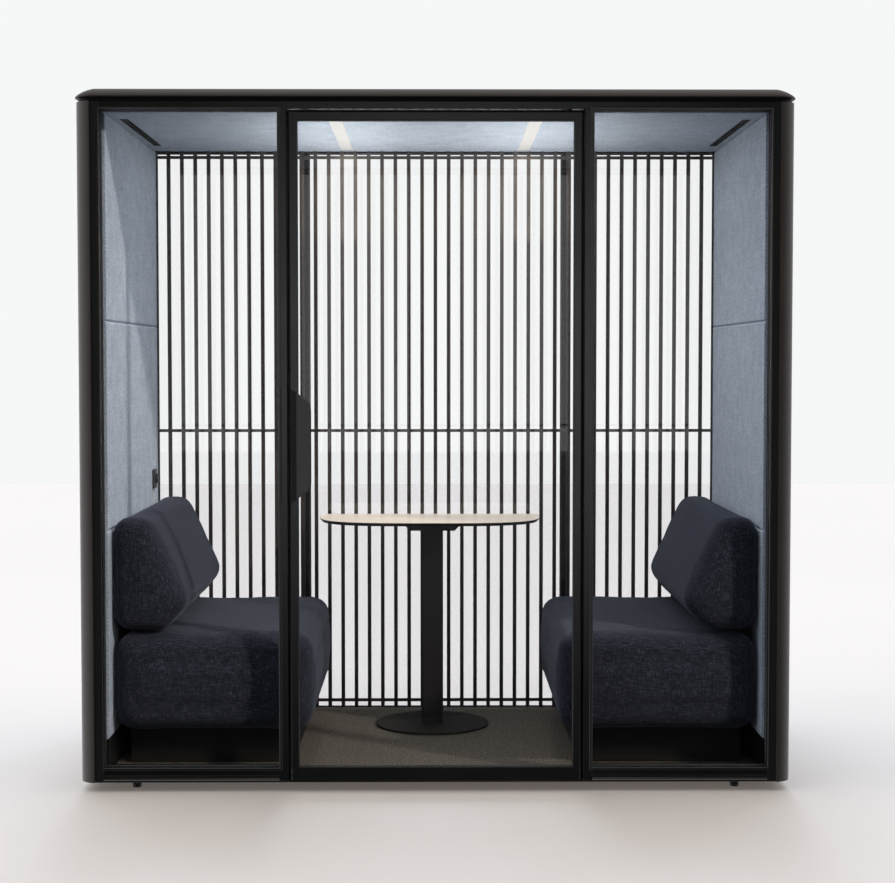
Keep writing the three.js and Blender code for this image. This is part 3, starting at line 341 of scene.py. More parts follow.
def break_shine(tree, shader, pattern, roughness, spread):
    """Lets a pattern make the surface a little duller here and a little shinier there."""
    dull = add(
        tree,
        "ShaderNodeMapRange",
        {
            "Value": pattern,
            "From Min": PATTERN_LOW,
            "From Max": PATTERN_HIGH,
            "To Min": roughness - spread,
            "To Max": roughness + spread,
        },
    )
    tree.links.new(dull.outputs[0], shader.inputs["Roughness"])


def painted_metal(name, dark, light, roughness, specular, flange=None):
    """Powder coated aluminium. The baked powder leaves a fine orange peel and a dull, even sheen.

    The peel is about 0.8 mm in life and is drawn at 2.5 mm so that it shows at all. A flange pair of
    colours, painted shade, is used nearer the middle of the pod than the posts' shade split.
    """
    material, tree, shader, place = new_material(name, {"IOR": 1.5, "Specular IOR Level": specular})
    cloud = add(tree, "ShaderNodeTexNoise", {"Vector": place, "Scale": per_metre(180), "Detail": 3.0})
    peel = add(tree, "ShaderNodeTexNoise", {"Vector": place, "Scale": per_metre(2.5), "Detail": 2.0})
    colour = add(tree, "ShaderNodeValToRGB", {0: cloud.outputs[0]}, stops=from_to(dark, light)).outputs[0]
    # Nearer the middle than the split, the flat flange takes the flange pair: painted shade for the dark
    # its flat faces show
    if flange:
        apart = add(tree, "ShaderNodeSeparateXYZ", {0: place})
        off_centre = add(tree, "ShaderNodeMath", {0: apart.outputs[0]}, operation="ABSOLUTE")
        outside = add(
            tree,
            "ShaderNodeMath",
            {0: off_centre.outputs[0], 1: POST_SHADE_SPLIT},
            operation="GREATER_THAN",
        )
        inner = add(tree, "ShaderNodeValToRGB", {0: cloud.outputs[0]}, stops=from_to(*flange))
        flange_shade_mix = add(
            tree,
            "ShaderNodeMix",
            {"Factor": outside.outputs[0], "A": inner.outputs[0], "B": colour},
            data_type="RGBA",
        )
        colour = flange_shade_mix.outputs["Result"]
    dress(tree, shader, colour, peel.outputs[0], 0.12, 0.08 * MM)
    break_shine(tree, shader, cloud.outputs[0], roughness, 0.02)
    return material


def wool_felt():
    """Pressed wool felt over foam. Matted blue grey fibres in several shades, quite matt, with a soft nap.

    Single fibres are far too fine to show, so the tufts are drawn 3 to 6 mm across.
    """
    material, tree, shader, place = new_material(
        "blue_grey_wool_felt",
        {
            "Roughness": 0.95,
            "Specular IOR Level": 0.2,
            "Sheen Weight": 0.25,
            "Sheen Roughness": 0.6,
            "Sheen Tint": linear("#aeb7c4"),
        },
    )
    bend = add(tree, "ShaderNodeTexNoise", {"Vector": place, "Scale": per_metre(14), "Detail": 1.0})
    swirl = add(tree, "ShaderNodeVectorMath", {0: bend.outputs[1], "Scale": 6 * MM}, operation="SCALE")
    drawn = add(tree, "ShaderNodeVectorMath", {0: place, 1: swirl.outputs[0]}, operation="ADD")
    tufts = add(
        tree,
        "ShaderNodeTexNoise",
        {"Vector": drawn.outputs[0], "Scale": per_metre(5.5), "Detail": 4.0, "Roughness": 0.72},
    )
    cloud = add(tree, "ShaderNodeTexNoise", {"Vector": place, "Scale": per_metre(70), "Detail": 2.0})
    cloud_weight = 0.16
    mixed = add(
        tree,
        "ShaderNodeMath",
        {0: cloud.outputs[0], 1: cloud_weight, 2: tufts.outputs[0]},
        operation="MULTIPLY_ADD",
    )
    colour = add(
        tree,
        "ShaderNodeValToRGB",
        {0: mixed.outputs[0]},
        stops=[(0.42, "#7c899c"), (0.58, "#a2aebf"), (0.74, "#cad4e2")],
    )
    dress(tree, shader, colour.outputs[0], tufts.outputs[0], 0.3, 0.8 * MM)
    return material


def melange_weave():
    """Woven wool blend sofa cloth. Charcoal yarns with paler slubs cross, with a dusty sheen at the edges.

    Yarns of 1.2 mm are drawn about 2.6 mm thick and 26 mm long so that the slubs show.
    """
    material, tree, shader, place = new_material(
        "charcoal_melange_weave",
        {
            "Roughness": 0.92,
            "Specular IOR Level": 0.15,
            "Sheen Weight": 0.35,
            "Sheen Roughness": 0.5,
            "Sheen Tint": linear("#7b8294"),
        },
    )
    thick = per_metre(2.6)
    long = per_metre(26)
    apart = 7.3
    yarns = []
    for run in range(3):
        stretch = [thick, thick, thick]
        stretch[run] = long
        laid = add(
            tree,
            "ShaderNodeMapping",
            {"Vector": place, "Scale": stretch, "Location": [run * apart] * 3},
        )
        yarn = add(tree, "ShaderNodeTexNoise", {"Vector": laid.outputs[0], "Scale": 1.0, "Detail": 2.0})
        yarns.append(yarn.outputs[0])
    depth_weight = 0.5
    crossed = add(tree, "ShaderNodeMath", {0: yarns[0], 1: yarns[2]}, operation="ADD")
    woven = add(
        tree,
        "ShaderNodeMath",
        {0: yarns[1], 1: depth_weight, 2: crossed.outputs[0]},
        operation="MULTIPLY_ADD",
    )
    fleck = add(tree, "ShaderNodeTexNoise", {"Vector": place, "Scale": per_metre(3), "Detail": 3.0})
    fleck_weight = 0.4
    mixed = add(
        tree,
        "ShaderNodeMath",
        {0: fleck.outputs[0], 1: fleck_weight, 2: woven.outputs[0]},
        operation="MULTIPLY_ADD",
    )
    ranged = add(
        tree,
        "ShaderNodeMapRange",
        {"Value": mixed.outputs[0], "From Min": 1.02, "From Max": 1.9},
    )
    colour = add(
        tree,
        "ShaderNodeValToRGB",
        {0: ranged.outputs[0]},
        stops=[(0.15, "#14151b"), (0.45, "#22252f"), (0.65, "#2e313d"), (0.88, "#484c5b")],
    )
    dress(tree, shader, colour.outputs[0], ranged.outputs[0], 0.18, 0.7 * MM)
    return material


def needle_carpet():
    """Needle punched polyamide carpet. Matted fibre with a rough, speckled grey brown face.

    The fibre clumps are drawn at 7 mm, coarser than real, to show from across a room.
    """
    material, tree, shader, place = new_material(
        "grey_needle_carpet",
        {"Roughness": 1.0, "Specular IOR Level": 0.1},
    )
    clumps = add(
        tree,
        "ShaderNodeTexNoise",
        {"Vector": place, "Scale": per_metre(7), "Detail": 4.0, "Roughness": 0.75},
    )
    colour = add(
        tree,
        "ShaderNodeValToRGB",
        {0: clumps.outputs[0]},
        stops=[(0.34, "#34322e"), (0.5, "#544f49"), (0.68, "#7b756c")],
    )
    dress(tree, shader, colour.outputs[0], clumps.outputs[0], 0.6, 1.2 * MM)
    return material


def pale_oak():
    """Oak veneer under matt lacquer. Straight pale grain runs along the table, with fine darker pores."""
    material, tree, shader, place = new_material(
        "matt_lacquered_oak_veneer",
        {"Roughness": 0.42, "Coat Weight": 0.15, "Coat Roughness": 0.3},
    )
    laid = add(
        tree,
        "ShaderNodeMapping",
        {"Vector": place, "Scale": (per_metre(220), per_metre(9), per_metre(9))},
    )
    grain = add(
        tree,
        "ShaderNodeTexNoise",
        {"Vector": laid.outputs[0], "Scale": 1.0, "Detail": 5.0, "Roughness": 0.6, "Distortion": 0.4},
    )
    pores_laid = add(
        tree,
        "ShaderNodeMapping",
        {"Vector": place, "Scale": (per_metre(30), per_metre(2), per_metre(2))},
    )
    pores = add(tree, "ShaderNodeTexNoise", {"Vector": pores_laid.outputs[0], "Scale": 1.0, "Detail": 2.0})
    pore_weight = 0.25
    mixed = add(
        tree,
        "ShaderNodeMath",
        {0: pores.outputs[0], 1: pore_weight, 2: grain.outputs[0]},
        operation="MULTIPLY_ADD",
    )
    colour = add(
        tree,
        "ShaderNodeValToRGB",
        {0: mixed.outputs[0]},
        stops=[(0.42, "#dccdbb"), (0.6, "#eadbcb"), (0.78, "#f0e5d7")],
    )
    dress(tree, shader, colour.outputs[0], mixed.outputs[0], 0.15, 0.1 * MM)
    return material


def fine_grained(name, dark, light, roughness, grain_mm, specular=0.4, relief=0.12):
    """A plain dark finish with a fine moulded, sawn or lacquered grain that breaks up its shine."""
    material, tree, shader, place = new_material(name, {"Specular IOR Level": specular})
    grain = add(tree, "ShaderNodeTexNoise", {"Vector": place, "Scale": per_metre(grain_mm), "Detail": 4.0})
    colour = add(tree, "ShaderNodeValToRGB", {0: grain.outputs[0]}, stops=from_to(dark, light))
    dress(tree, shader, colour.outputs[0], grain.outputs[0], relief, 0.1 * MM)
    break_shine(tree, shader, grain.outputs[0], roughness, 0.03)
    return material


def stained_slats():
    """Wood slats in a dark stain. The grain runs up each slat and shows as faint paler streaks."""
    material, tree, shader, place = new_material(
        "dark_stained_slat_wood",
        {"Roughness": 0.6, "Specular IOR Level": 0.3},
    )
    laid = add(
        tree,
        "ShaderNodeMapping",
        {"Vector": place, "Scale": (per_metre(4), per_metre(4), per_metre(120))},
    )
    grain = add(tree, "ShaderNodeTexNoise", {"Vector": laid.outputs[0], "Scale": 1.0, "Detail": 4.0})
    colour = add(tree, "ShaderNodeValToRGB", {0: grain.outputs[0]}, stops=from_to("#302c2a", "#403a37"))
    dress(tree, shader, colour.outputs[0], grain.outputs[0], 0.25, 0.2 * MM)
    return material


def laminated_glass():
    """Clear laminated float glass. Almost colourless, with polished faces that mirror the room at a slant.

    Light that only passes through goes straight on, so that lamps and the sky reach the cabin.
    """
    material, tree, shader, _ = new_material(
        "clear_laminated_glass",
        {"Base Color": linear("#ffffff"), "Roughness": 0.0, "IOR": 1.5, "Transmission Weight": 1.0},
    )
    path = add(tree, "ShaderNodeLightPath")
    lamps_and_bounces = add(
        tree,
        "ShaderNodeMath",
        {0: path.outputs["Is Shadow Ray"], 1: path.outputs["Is Diffuse Ray"]},
        operation="MAXIMUM",
    )
    passing = add(
        tree,
        "ShaderNodeMath",
        {0: path.outputs["Is Camera Ray"], 1: GLASS_CLEARNESS, 2: lamps_and_bounces.outputs[0]},
        operation="MULTIPLY_ADD",
    )
    straight = add(tree, "ShaderNodeBsdfTransparent", {"Color": linear("#ffffff")})
    mixed = add(
        tree,
        "ShaderNodeMixShader",
        {0: passing.outputs[0], 1: shader.outputs[0], 2: straight.outputs[0]},
    )
    tree.links.new(mixed.outputs[0], tree.nodes["Material Output"].inputs["Surface"])
    return material


def opal_diffuser():
    """Opal acrylic light cover. It glows evenly, but for a faint cloudiness in the acrylic."""
    material, tree, shader, place = new_material(
        "opal_acrylic_diffuser",
        {"Base Color": linear("#a8a9ab"), "Roughness": 0.4, "Emission Strength": 0.26},
    )
    cloud = add(tree, "ShaderNodeTexNoise", {"Vector": place, "Scale": per_metre(60), "Detail": 1.0})
    glow = add(tree, "ShaderNodeValToRGB", {0: cloud.outputs[0]}, stops=from_to("#f4f4f0", "#fdfdfa"))
    tree.links.new(glow.outputs[0], shader.inputs["Emission Color"])
    return material


BRONZE = ("#3f3833", "#463f39")
# The roof cap's bronze is a darker copy of the posts' coat: painted shade, for the roof's darker look
SHADED_BRONZE = ("#302822", "#342b25")
BLACK = ("#100f0e", "#131211")
SHELL = painted_metal("bronze_grey_powder_coat_in_painted_shade", *SHADED_BRONZE, 0.5, 0.15)
# The posts keep the bronze on their round face, and their flat flange is painted black as shade, for the
# dark that the flat faces show
POST = painted_metal("bronze_coat_with_painted_shade_flange", *BRONZE, 0.4, 0.4, flange=BLACK)
FRAME = painted_metal("black_powder_coat", *BLACK, 0.2, 0.5)
DULL_FRAME = painted_metal("dull_black_powder_coat", *BLACK, 0.6, 0.2)
FELT = wool_felt()
WEAVE = melange_weave()
CARPET = needle_carpet()
OAK = pale_oak()
SLATS = stained_slats()
GLASS = laminated_glass()
DIFFUSER = opal_diffuser()
# Black melamine faced board: a dull pressed grain
BOARD = fine_grained("black_melamine_board", "#0d0d0e", "#121213", 0.6, 6, specular=0.15)
# Black ABS: moulded with a fine spark eroded texture
ABS = fine_grained("black_moulded_abs", "#1a1a1c", "#232326", 0.5, 2.5)
# Steel under fine textured black paint
STEEL = fine_grained("black_textured_steel", "#232223", "#292829", 0.35, 3, specular=0.26, relief=0.04)
# Cast iron table foot: sand cast and dull under the same black
CAST = fine_grained("black_cast_iron", "#1f1e1e", "#262525", 0.85, 4, specular=0.08, relief=0.1)
# EPDM rubber: extruded, dull and slightly chalky
RUBBER = fine_grained("extruded_black_rubber", "#1c1d1f", "#232427", 0.6, 5, specular=0.3)
# The smooth lip of the glazing gasket
GASKET = fine_grained("smooth_black_gasket", "#191a1d", "#202226", 0.3, 5, specular=0.5, relief=0.03)
# Black brush pile of the door seals: deep and quite dull
PILE = fine_grained("black_brush_pile", "#0b0b0c", "#101011", 0.9, 2, specular=0.05)
# Black lacquered table edge over the board core
EDGE = fine_grained("black_lacquered_edge", "#1a1817", "#242120", 0.45, 3)


# Finishes and eased edges of the CAD nodes that stay

def node_finish(name):
    """The material of a CAD node that stays, and how far its edges are rounded in millimetres."""
    if "glass" in name:
        return GLASS, 0.8
    if name == "roof_cap":
        return SHELL, 1.5
    if name.startswith("corner_post") or "outer_panel" in name:
        return POST, 1.0
    if name.startswith("rear_"):
        return DULL_FRAME, 1.2
    if name.startswith("levelling_foot"):
        return RUBBER, 0.8
    if "light_strip" in name:
        return DIFFUSER, 1.0
    if name == "slat_screen":
        return SLATS, 1.0
    if name in ("base_chassis", "roof_panel") or "skirting" in name or "plinth" in name:
        return BOARD, 1.5
    if name.startswith(("control", "fan")) or "vent" in name:
        return ABS, 0.6
    if name == "table_base":
        return CAST, 1.0
    if name.startswith(("table", "door_handle", "door_pivot")):
        return STEEL, 1.0
    return FRAME, 1.2


REPLACED = {"carpet", "ceiling_panel", "table_top"}
for side in SIDES:
    REPLACED |= {f"{side}_seat_cushion", f"{side}_back_cushion"}
    REPLACED |= {f"{side}_wall_pad_{number}" for number in PADS}

for name, node in NODES.items():
    if name in REPLACED:
        continue
    finish, ease = node_finish(name)
    node.data.materials.clear()
    node.data.materials.append(finish)
    ease_edges(node, ease * MM)


# Wall pads: felt over foam, chamfered where the pads above and below meet them

def wall_pad(side, number):
    """One pad: a slightly crowned face with chamfered joint edges, built up ring by ring."""
    node = f"{side}_wall_pad_{number}"
    low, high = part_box(node)
    face, back = (low.x, high.x) if side == "right" else (high.x, low.x)
    height = high.z - low.z
    levels = [0.0, PAD_CHAMFER]
    levels += [PAD_CHAMFER + (height - 2 * PAD_CHAMFER) * step / PAD_STEPS for step in range(1, PAD_STEPS)]
    levels += [height - PAD_CHAMFER, height]
    rings = []
    for at, level in enumerate(levels):
        end_ring = at in (0, len(levels) - 1)
        drawn_back = PAD_CROWN + (PAD_CHAMFER if end_ring else 0)
        rise = 2 * level / height - 1
        ring = [Vector((back, low.y, low.z + level)), Vector((back, high.y, low.z + level))]
        for step in range(PAD_STEPS, -1, -1):
            share = step / PAD_STEPS
            fullness = (1 - (2 * share - 1) ** 2) * (1 - rise * rise)
            x = face + SIDES[side] * (drawn_back - PAD_CROWN * fullness)
            ring.append(Vector((x, low.y + (high.y - low.y) * share, low.z + level)))
        rings.append(ring)
    made = link_piece(f"{side}_felt_pad_{number}", loft(node, rings), [FELT], "cabin", [node])
    ease_edges(made, PAD_EASE)


for side in SIDES:
    for number in PADS:
        wall_pad(side, number)


# Ceiling and carpet: a felt plate with slots for its fittings, and a needle felt sheet

def plate_with_slots(name, low, high, slots):
    """A flat plate with rectangular slots, as one closed mesh. Slots are (x0, x1, y0, y1)."""
    xs = sorted({low.x, high.x} | {x for slot in slots for x in slot[:2]})
    ys = sorted({low.y, high.y} | {y for slot in slots for y in slot[2:]})
    form = bmesh.new()
    corners = [[form.verts.new((x, y, low.z)) for y in ys] for x in xs]
    for i in range(len(xs) - 1):
        for j in range(len(ys) - 1):
            x = (xs[i] + xs[i + 1]) / 2
            y = (ys[j] + ys[j + 1]) / 2
            if any(s[0] < x < s[1] and s[2] < y < s[3] for s in slots):
                continue
            form.faces.new((corners[i][j], corners[i + 1][j], corners[i + 1][j + 1], corners[i][j + 1]))
    bmesh.ops.delete(form, geom=[v for v in form.verts if not v.link_faces], context="VERTS")
    raised = bmesh.ops.extrude_face_region(form, geom=form.faces[:] + form.edges[:] + form.verts[:])
    for part in raised["geom"]:
        if isinstance(part, bmesh.types.BMVert):
            part.co.z = high.z
    bmesh.ops.recalc_face_normals(form, faces=form.faces)
    mesh = bpy.data.meshes.new(name)
    form.to_mesh(mesh)
    form.free()
    return mesh


def ceiling():
    """The felt ceiling panel, with a slot round each light strip and air grille."""
    low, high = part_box("ceiling_panel")
    slots = []
    for fitting in ("light_strip", "vent_grille"):
        for side in SIDES:
            start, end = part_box(f"{side}_{fitting}")
            slots.append((start.x, end.x, start.y, end.y))
    mesh = plate_with_slots("felt_ceiling", low, high, slots)
    made = link_piece("felt_ceiling", mesh, [FELT], "cabin", ["ceiling_panel"])
    ease_edges(made, CEILING_EASE)


def carpet():
    """The floor covering: a needle felt sheet laid in the base, its face a little uneven."""
    low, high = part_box("carpet")
    across, along = CARPET_STEPS
    rings = []
    for i in range(across + 1):
        x = low.x + (high.x - low.x) * i / across
        ring = [Vector((x, low.y, low.z)), Vector((x, high.y, low.z))]
        for j in range(along, -1, -1):
            y = low.y + (high.y - low.y) * j / along
            edge = i in (0, across) or j in (0, along)
            wave = math.sin(CARPET_WAVES[0] * x + CARPET_WAVE_START) * math.sin(CARPET_WAVES[1] * y)
            dip = CARPET_EDGE_DIP if edge else CARPET_DIP * (1 + wave)
            ring.append(Vector((x, y, high.z - dip)))
        rings.append(ring)
    mesh = loft("needle_carpet", rings)
    made = link_piece("needle_carpet", mesh, [CARPET], "cabin", ["carpet"])
    mesh.shade_smooth()
    ease_edges(made, CARPET_EASE)


ceiling()
carpet()


# Cushions

def welded_copy(node, name):
    """A loose copy of a CAD node's skin, its corners joined up."""
    mesh = NODES[node].data.copy()
    mesh.name = name
    mesh.materials.clear()
    form = bmesh.new()
    form.from_mesh(mesh)
    bmesh.ops.remove_doubles(form, verts=form.verts, dist=WELD_DISTANCE)
    bmesh.ops.recalc_face_normals(form, faces=form.faces)
    form.to_mesh(mesh)
    form.free()
    if "custom_normal" in mesh.attributes:
        mesh.attributes.remove(mesh.attributes["custom_normal"])
    return mesh


def smooth_out(made, rounds):
    """Smooths a cover, after any other modifier it has, and keeps the result as its mesh."""
    smooth = made.modifiers.new("smooth", "SMOOTH")
    smooth.factor = 0.5
    smooth.iterations = rounds
    graph = bpy.context.evaluated_depsgraph_get()
    made.data = bpy.data.meshes.new_from_object(made.evaluated_get(graph))
    made.modifiers.clear()


def swell(made):
    """Lets the filling press the cover out for a few frames, and gives each point's place after it."""
    filling = made.modifiers.new("filling", "CLOTH")
    cover = filling.settings
    cover.quality = 5
    cover.mass = 0.4
    cover.tension_stiffness = 20
    cover.compression_stiffness = 20
    cover.shear_stiffness = 10
    cover.bending_stiffness = 2
    cover.use_pressure = True
    cover.uniform_pressure_force = 4
    cover.effector_weights.gravity = 0
    filling.collision_settings.use_collision = False
    filling.point_cache.frame_start = 1
    filling.point_cache.frame_end = SIM_FRAMES
    for number in range(1, SIM_FRAMES + 1):
        SCENE.frame_set(number)
    graph = bpy.context.evaluated_depsgraph_get()
    settled = [v.co.copy() for v in made.evaluated_get(graph).data.vertices]
    made.modifiers.remove(filling)
    SCENE.frame_set(1)
    return settled


def fill_box(mesh, low, high):
    """Stretches a mesh so that it just fills a box."""
    for axis in range(3):
        places = [vertex.co[axis] for vertex in mesh.vertices]
        start = min(places)
        stretch = (high[axis] - low[axis]) / (max(places) - start)
        for vertex in mesh.vertices:
            vertex.co[axis] = low[axis] + (vertex.co[axis] - start) * stretch


def stuffed_cushion(node, hold):
    """A filled cushion's cover: the CAD skin remeshed, drawn in and swelled by its filling.

    It is then drawn tight, stretched back to the CAD box and held off its neighbours.
    """
    made = bpy.data.objects.new(node + "_cover", welded_copy(node, node + "_cover"))
    SCENE.collection.objects.link(made)
    remesh = made.modifiers.new("remesh", "REMESH")
    remesh.mode = "VOXEL"
    remesh.voxel_size = VOXEL
    smooth_out(made, RELAX_ROUNDS)
    skin = made.data
    for vertex, normal in [(v, v.normal.copy()) for v in skin.vertices]:
        vertex.co -= normal * START_INSET
    start = [v.co.copy() for v in skin.vertices]
    settled = swell(made)
    for vertex, before, after in zip(skin.vertices, start, settled):
        move = after - before
        if move.length > SWELL_LIMIT:
            move *= SWELL_LIMIT / move.length
        vertex.co = before + move
    smooth_out(made, TIGHTEN_ROUNDS)
    finished = made.data
    fill_box(finished, *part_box(node))
    for vertex in finished.vertices:
        vertex.co = hold(vertex.co)
    finished.shade_smooth()
    bpy.data.objects.remove(made)
    return finished


def mirrored(mesh, name):
    """The same cover for the other sofa."""
    other = mesh.copy()
    other.name = name
    for vertex in other.vertices:
        vertex.co.x = -vertex.co.x
    other.flip_normals()
    return other


SEAT_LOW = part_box("left_seat_cushion")[0]
BACK_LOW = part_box("left_back_cushion")[0]


def hold_seat(point):
    """Keeps the seat on its plinth, off the wall and just under the back cushion that stands on it."""
    top = BACK_LOW.z - SEAT_CLEARANCE
    return Vector((max(point.x, SEAT_LOW.x), point.y, min(max(point.z, SEAT_LOW.z), top)))


def hold_back(point):
    """Keeps the back cushion on the seat and off the wall."""
    return Vector((max(point.x, BACK_LOW.x), point.y, max(point.z, BACK_LOW.z)))


for part, hold in (("seat", hold_seat), ("back", hold_back)):
    cover = stuffed_cushion(f"left_{part}_cushion", hold)
    for side in SIDES:
        node = f"{side}_{part}_cushion"
        mesh = cover if side == "left" else mirrored(cover, node)
        made = link_piece(f"{side}_{part}_upholstery", mesh, [WEAVE], "cabin", [node])
        finer = made.modifiers.new("finer", "SUBSURF")
        finer.levels = 1
        finer.render_levels = 1


# Table top

def table_outline(inset):
    """The soft D outline as x and y pairs: a straight rear edge, round corners and a full curved front."""
    low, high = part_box("table_top")
    middle = (low + high) / 2
    half_x = (high.x - low.x) / 2 - inset
    half_y = (high.y - low.y) / 2 - inset
    radius = TABLE_REAR_RADIUS - inset
    widest = half_y - radius
    front_reach = widest + half_y
    outline = []
    for corner, start in ((half_x - radius, 0.0), (radius - half_x, math.pi / 2)):
        for step in range(TABLE_REAR_STEPS + 1):
            angle = start + math.pi / 2 * step / TABLE_REAR_STEPS
            outline.append((corner + radius * math.cos(angle), widest + radius * math.sin(angle)))
    power = 2 / TABLE_FRONT_POWER
    for step in range(1, TABLE_FRONT_STEPS):
        angle = math.pi + math.pi * step / TABLE_FRONT_STEPS
        x = math.copysign(abs(math.cos(angle)) ** power, math.cos(angle)) * half_x
        outline.append((x, widest - abs(math.sin(angle)) ** power * front_reach))
    return [(middle.x + x, middle.y + y) for x, y in outline]


def table_top():
    """An oak faced top with a black edge that slopes in underneath."""
    low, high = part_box("table_top")
    steps = [
        (TABLE_BEVEL, low.z),
        (TABLE_EDGE_EASE, high.z - TABLE_EDGE - TABLE_EDGE_EASE),
        (0.0, high.z - TABLE_EDGE),
        (0.0, high.z - TABLE_ARRIS),
        (TABLE_ARRIS_MIDDLE, high.z - TABLE_ARRIS_MIDDLE),
        (TABLE_ARRIS, high.z),
    ]
    rings = [[Vector((x, y, z)) for x, y in table_outline(inset)] for inset, z in steps]
    mesh = loft("oak_table_top", rings)
    link_piece("oak_table_top", mesh, [OAK, EDGE], "cabin", ["table_top"])
    for face in mesh.polygons:
        face.use_smooth = abs(face.normal.z) < 0.99
        face.material_index = 0 if face.center.z > high.z - TABLE_FACE_MARGIN else 1


table_top()


# Glazing beads: a soft black wedge that holds each pane in its frame

def glazing_bead(name, pane, body, outward):
    """A ring of wedge section against one face of a pane, along the edge of the frame that covers it."""
    low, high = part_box(pane)
    face = low.y if outward < 0 else high.y
    wedge = [(0.0, 0.0), (BEAD, 0.0), (BEAD, BEAD_NOSE), (BEAD_NOSE, BEAD), (0.0, BEAD)]
    across = (low.x + GLASS_BITE, high.x - GLASS_BITE)
    up = (low.z + GLASS_BITE, high.z - GLASS_BITE)
    mesh = mitred_ring(name, across, up, face, outward, [(-a, b + BEAD_GAP) for a, b in wedge])
    link_piece(name, mesh, [GASKET], body)


for pane, body in (
    ("front_glass_left", "cabin"),
    ("front_glass_right", "cabin"),
    ("door_glass", "door"),
    ("rear_glass_left", "cabin"),
    ("rear_glass_centre", "cabin"),
    ("rear_glass_right", "cabin"),
):
    outside = 1 if pane.startswith("rear") else -1
    glazing_bead(f"{pane}_bead_outer", pane, body, outside)
    glazing_bead(f"{pane}_bead_inner", pane, body, -outside)


# Trims on the front frame and at the slat screen's ends

def frame_bead(name, across, up):
    """A raised bevelled bead round one front bay, mitred at its corners, on the face of the frame."""
    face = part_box("front_header")[0].y
    section = [(a * MM, b * MM) for a, b in FRAME_BEAD]
    mesh = mitred_ring(name, across, up, face, -1, section)
    made = link_piece(name, mesh, [FRAME], "cabin")
    ease_edges(made, TRIM_EASE)


def straight_trim(name, section, place, material, ease=TRIM_EASE):
    """A straight bar of one section. place(a, b, end) puts a section point at one end of the bar."""
    rings = [[place(a * MM, b * MM, end) for a, b in section] for end in (0, 1)]
    made = link_piece(name, loft(name, rings), [material], "cabin")
    ease_edges(made, ease)


def front_trims():
    """The beads and sill noses of the fixed front bays, the door's seals and the slat screen's channels."""
    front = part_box("front_sill")[0].y
    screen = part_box("slat_screen")[0].y
    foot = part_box("carpet")[1].z
    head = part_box("ceiling_panel")[0].z
    for side, sign in SIDES.items():
        mullion_low, mullion_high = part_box(f"front_mullion_{side}")
        pane_low, pane_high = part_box(f"front_glass_{side}")
        if side == "left":
            across = (pane_low.x + GLASS_BITE, mullion_low.x)
            jamb = mullion_high.x
            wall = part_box("left_wall_pad_1")[1].x
        else:
            across = (mullion_high.x, pane_high.x - GLASS_BITE)
            jamb = mullion_low.x
            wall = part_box("right_wall_pad_1")[0].x
        frame_bead(f"front_bead_{side}", across, (pane_low.z + GLASS_BITE, pane_high.z - GLASS_BITE))
        straight_trim(
            f"sill_nose_{side}",
            SILL_NOSE,
            lambda a, b, end: Vector((across[end], front - a, b)),
            FRAME,
        )
        straight_trim(
            f"door_seal_{side}",
            DOOR_SEAL,
            lambda a, b, end: Vector((jamb - sign * a, front + b, DOOR_SEAL_SPAN[end])),
            PILE,
            SEAL_EASE,
        )
        straight_trim(
            f"slat_channel_{side}",
            SLAT_CHANNEL,
            lambda a, b, end: Vector((wall - sign * a, screen - b, (foot, head)[end])),
            FRAME,
        )


front_trims()


# Studio, light and camera

def studio_floor():
    """A plain pale floor that takes the pod's shadow and sends little light back up at it.

    To the eye alone it glows a little, which lifts its darkest shadows.
    """
    material, tree, shader, place = new_material(
        "pale_studio_floor",
        {"Roughness": 1.0, "Specular IOR Level": 0.0, "Emission Color": linear(SHADOW_LIFT_COLOUR)},
    )
    cloud = add(
        tree,
        "ShaderNodeTexNoise",
        {"Vector": place, "Scale": per_metre(FLOOR_CLOUD), "Detail": 1.0},
    )
    seen = add(tree, "ShaderNodeValToRGB", {0: cloud.outputs[0]}, stops=from_to(*FLOOR_SHADES))
    path = add(tree, "ShaderNodeLightPath")
    colour = add(
        tree,
        "ShaderNodeMix",
        {"Factor": path.outputs["Is Camera Ray"], "A": linear(FLOOR_BOUNCE), "B": seen.outputs[0]},
        data_type="RGBA",
    )
    tree.links.new(colour.outputs["Result"], shader.inputs["Base Color"])
    lift = add(
        tree,
        "ShaderNodeMath",
        {0: path.outputs["Is Camera Ray"], 1: SHADOW_LIFT},
        operation="MULTIPLY",
    )
    tree.links.new(lift.outputs[0], shader.inputs["Emission Strength"])
    reach = FLOOR_REACH
    corners = [(-reach, -reach, 0), (reach, -reach, 0), (reach, reach, 0), (-reach, reach, 0)]
    mesh = mesh_from("studio_floor", corners, [(0, 1, 2, 3)])
    mesh.materials.append(material)
    floor = bpy.data.objects.new("studio_floor", mesh)
    SCENE.collection.objects.link(floor)
    floor.visible_glossy = False
    return floor


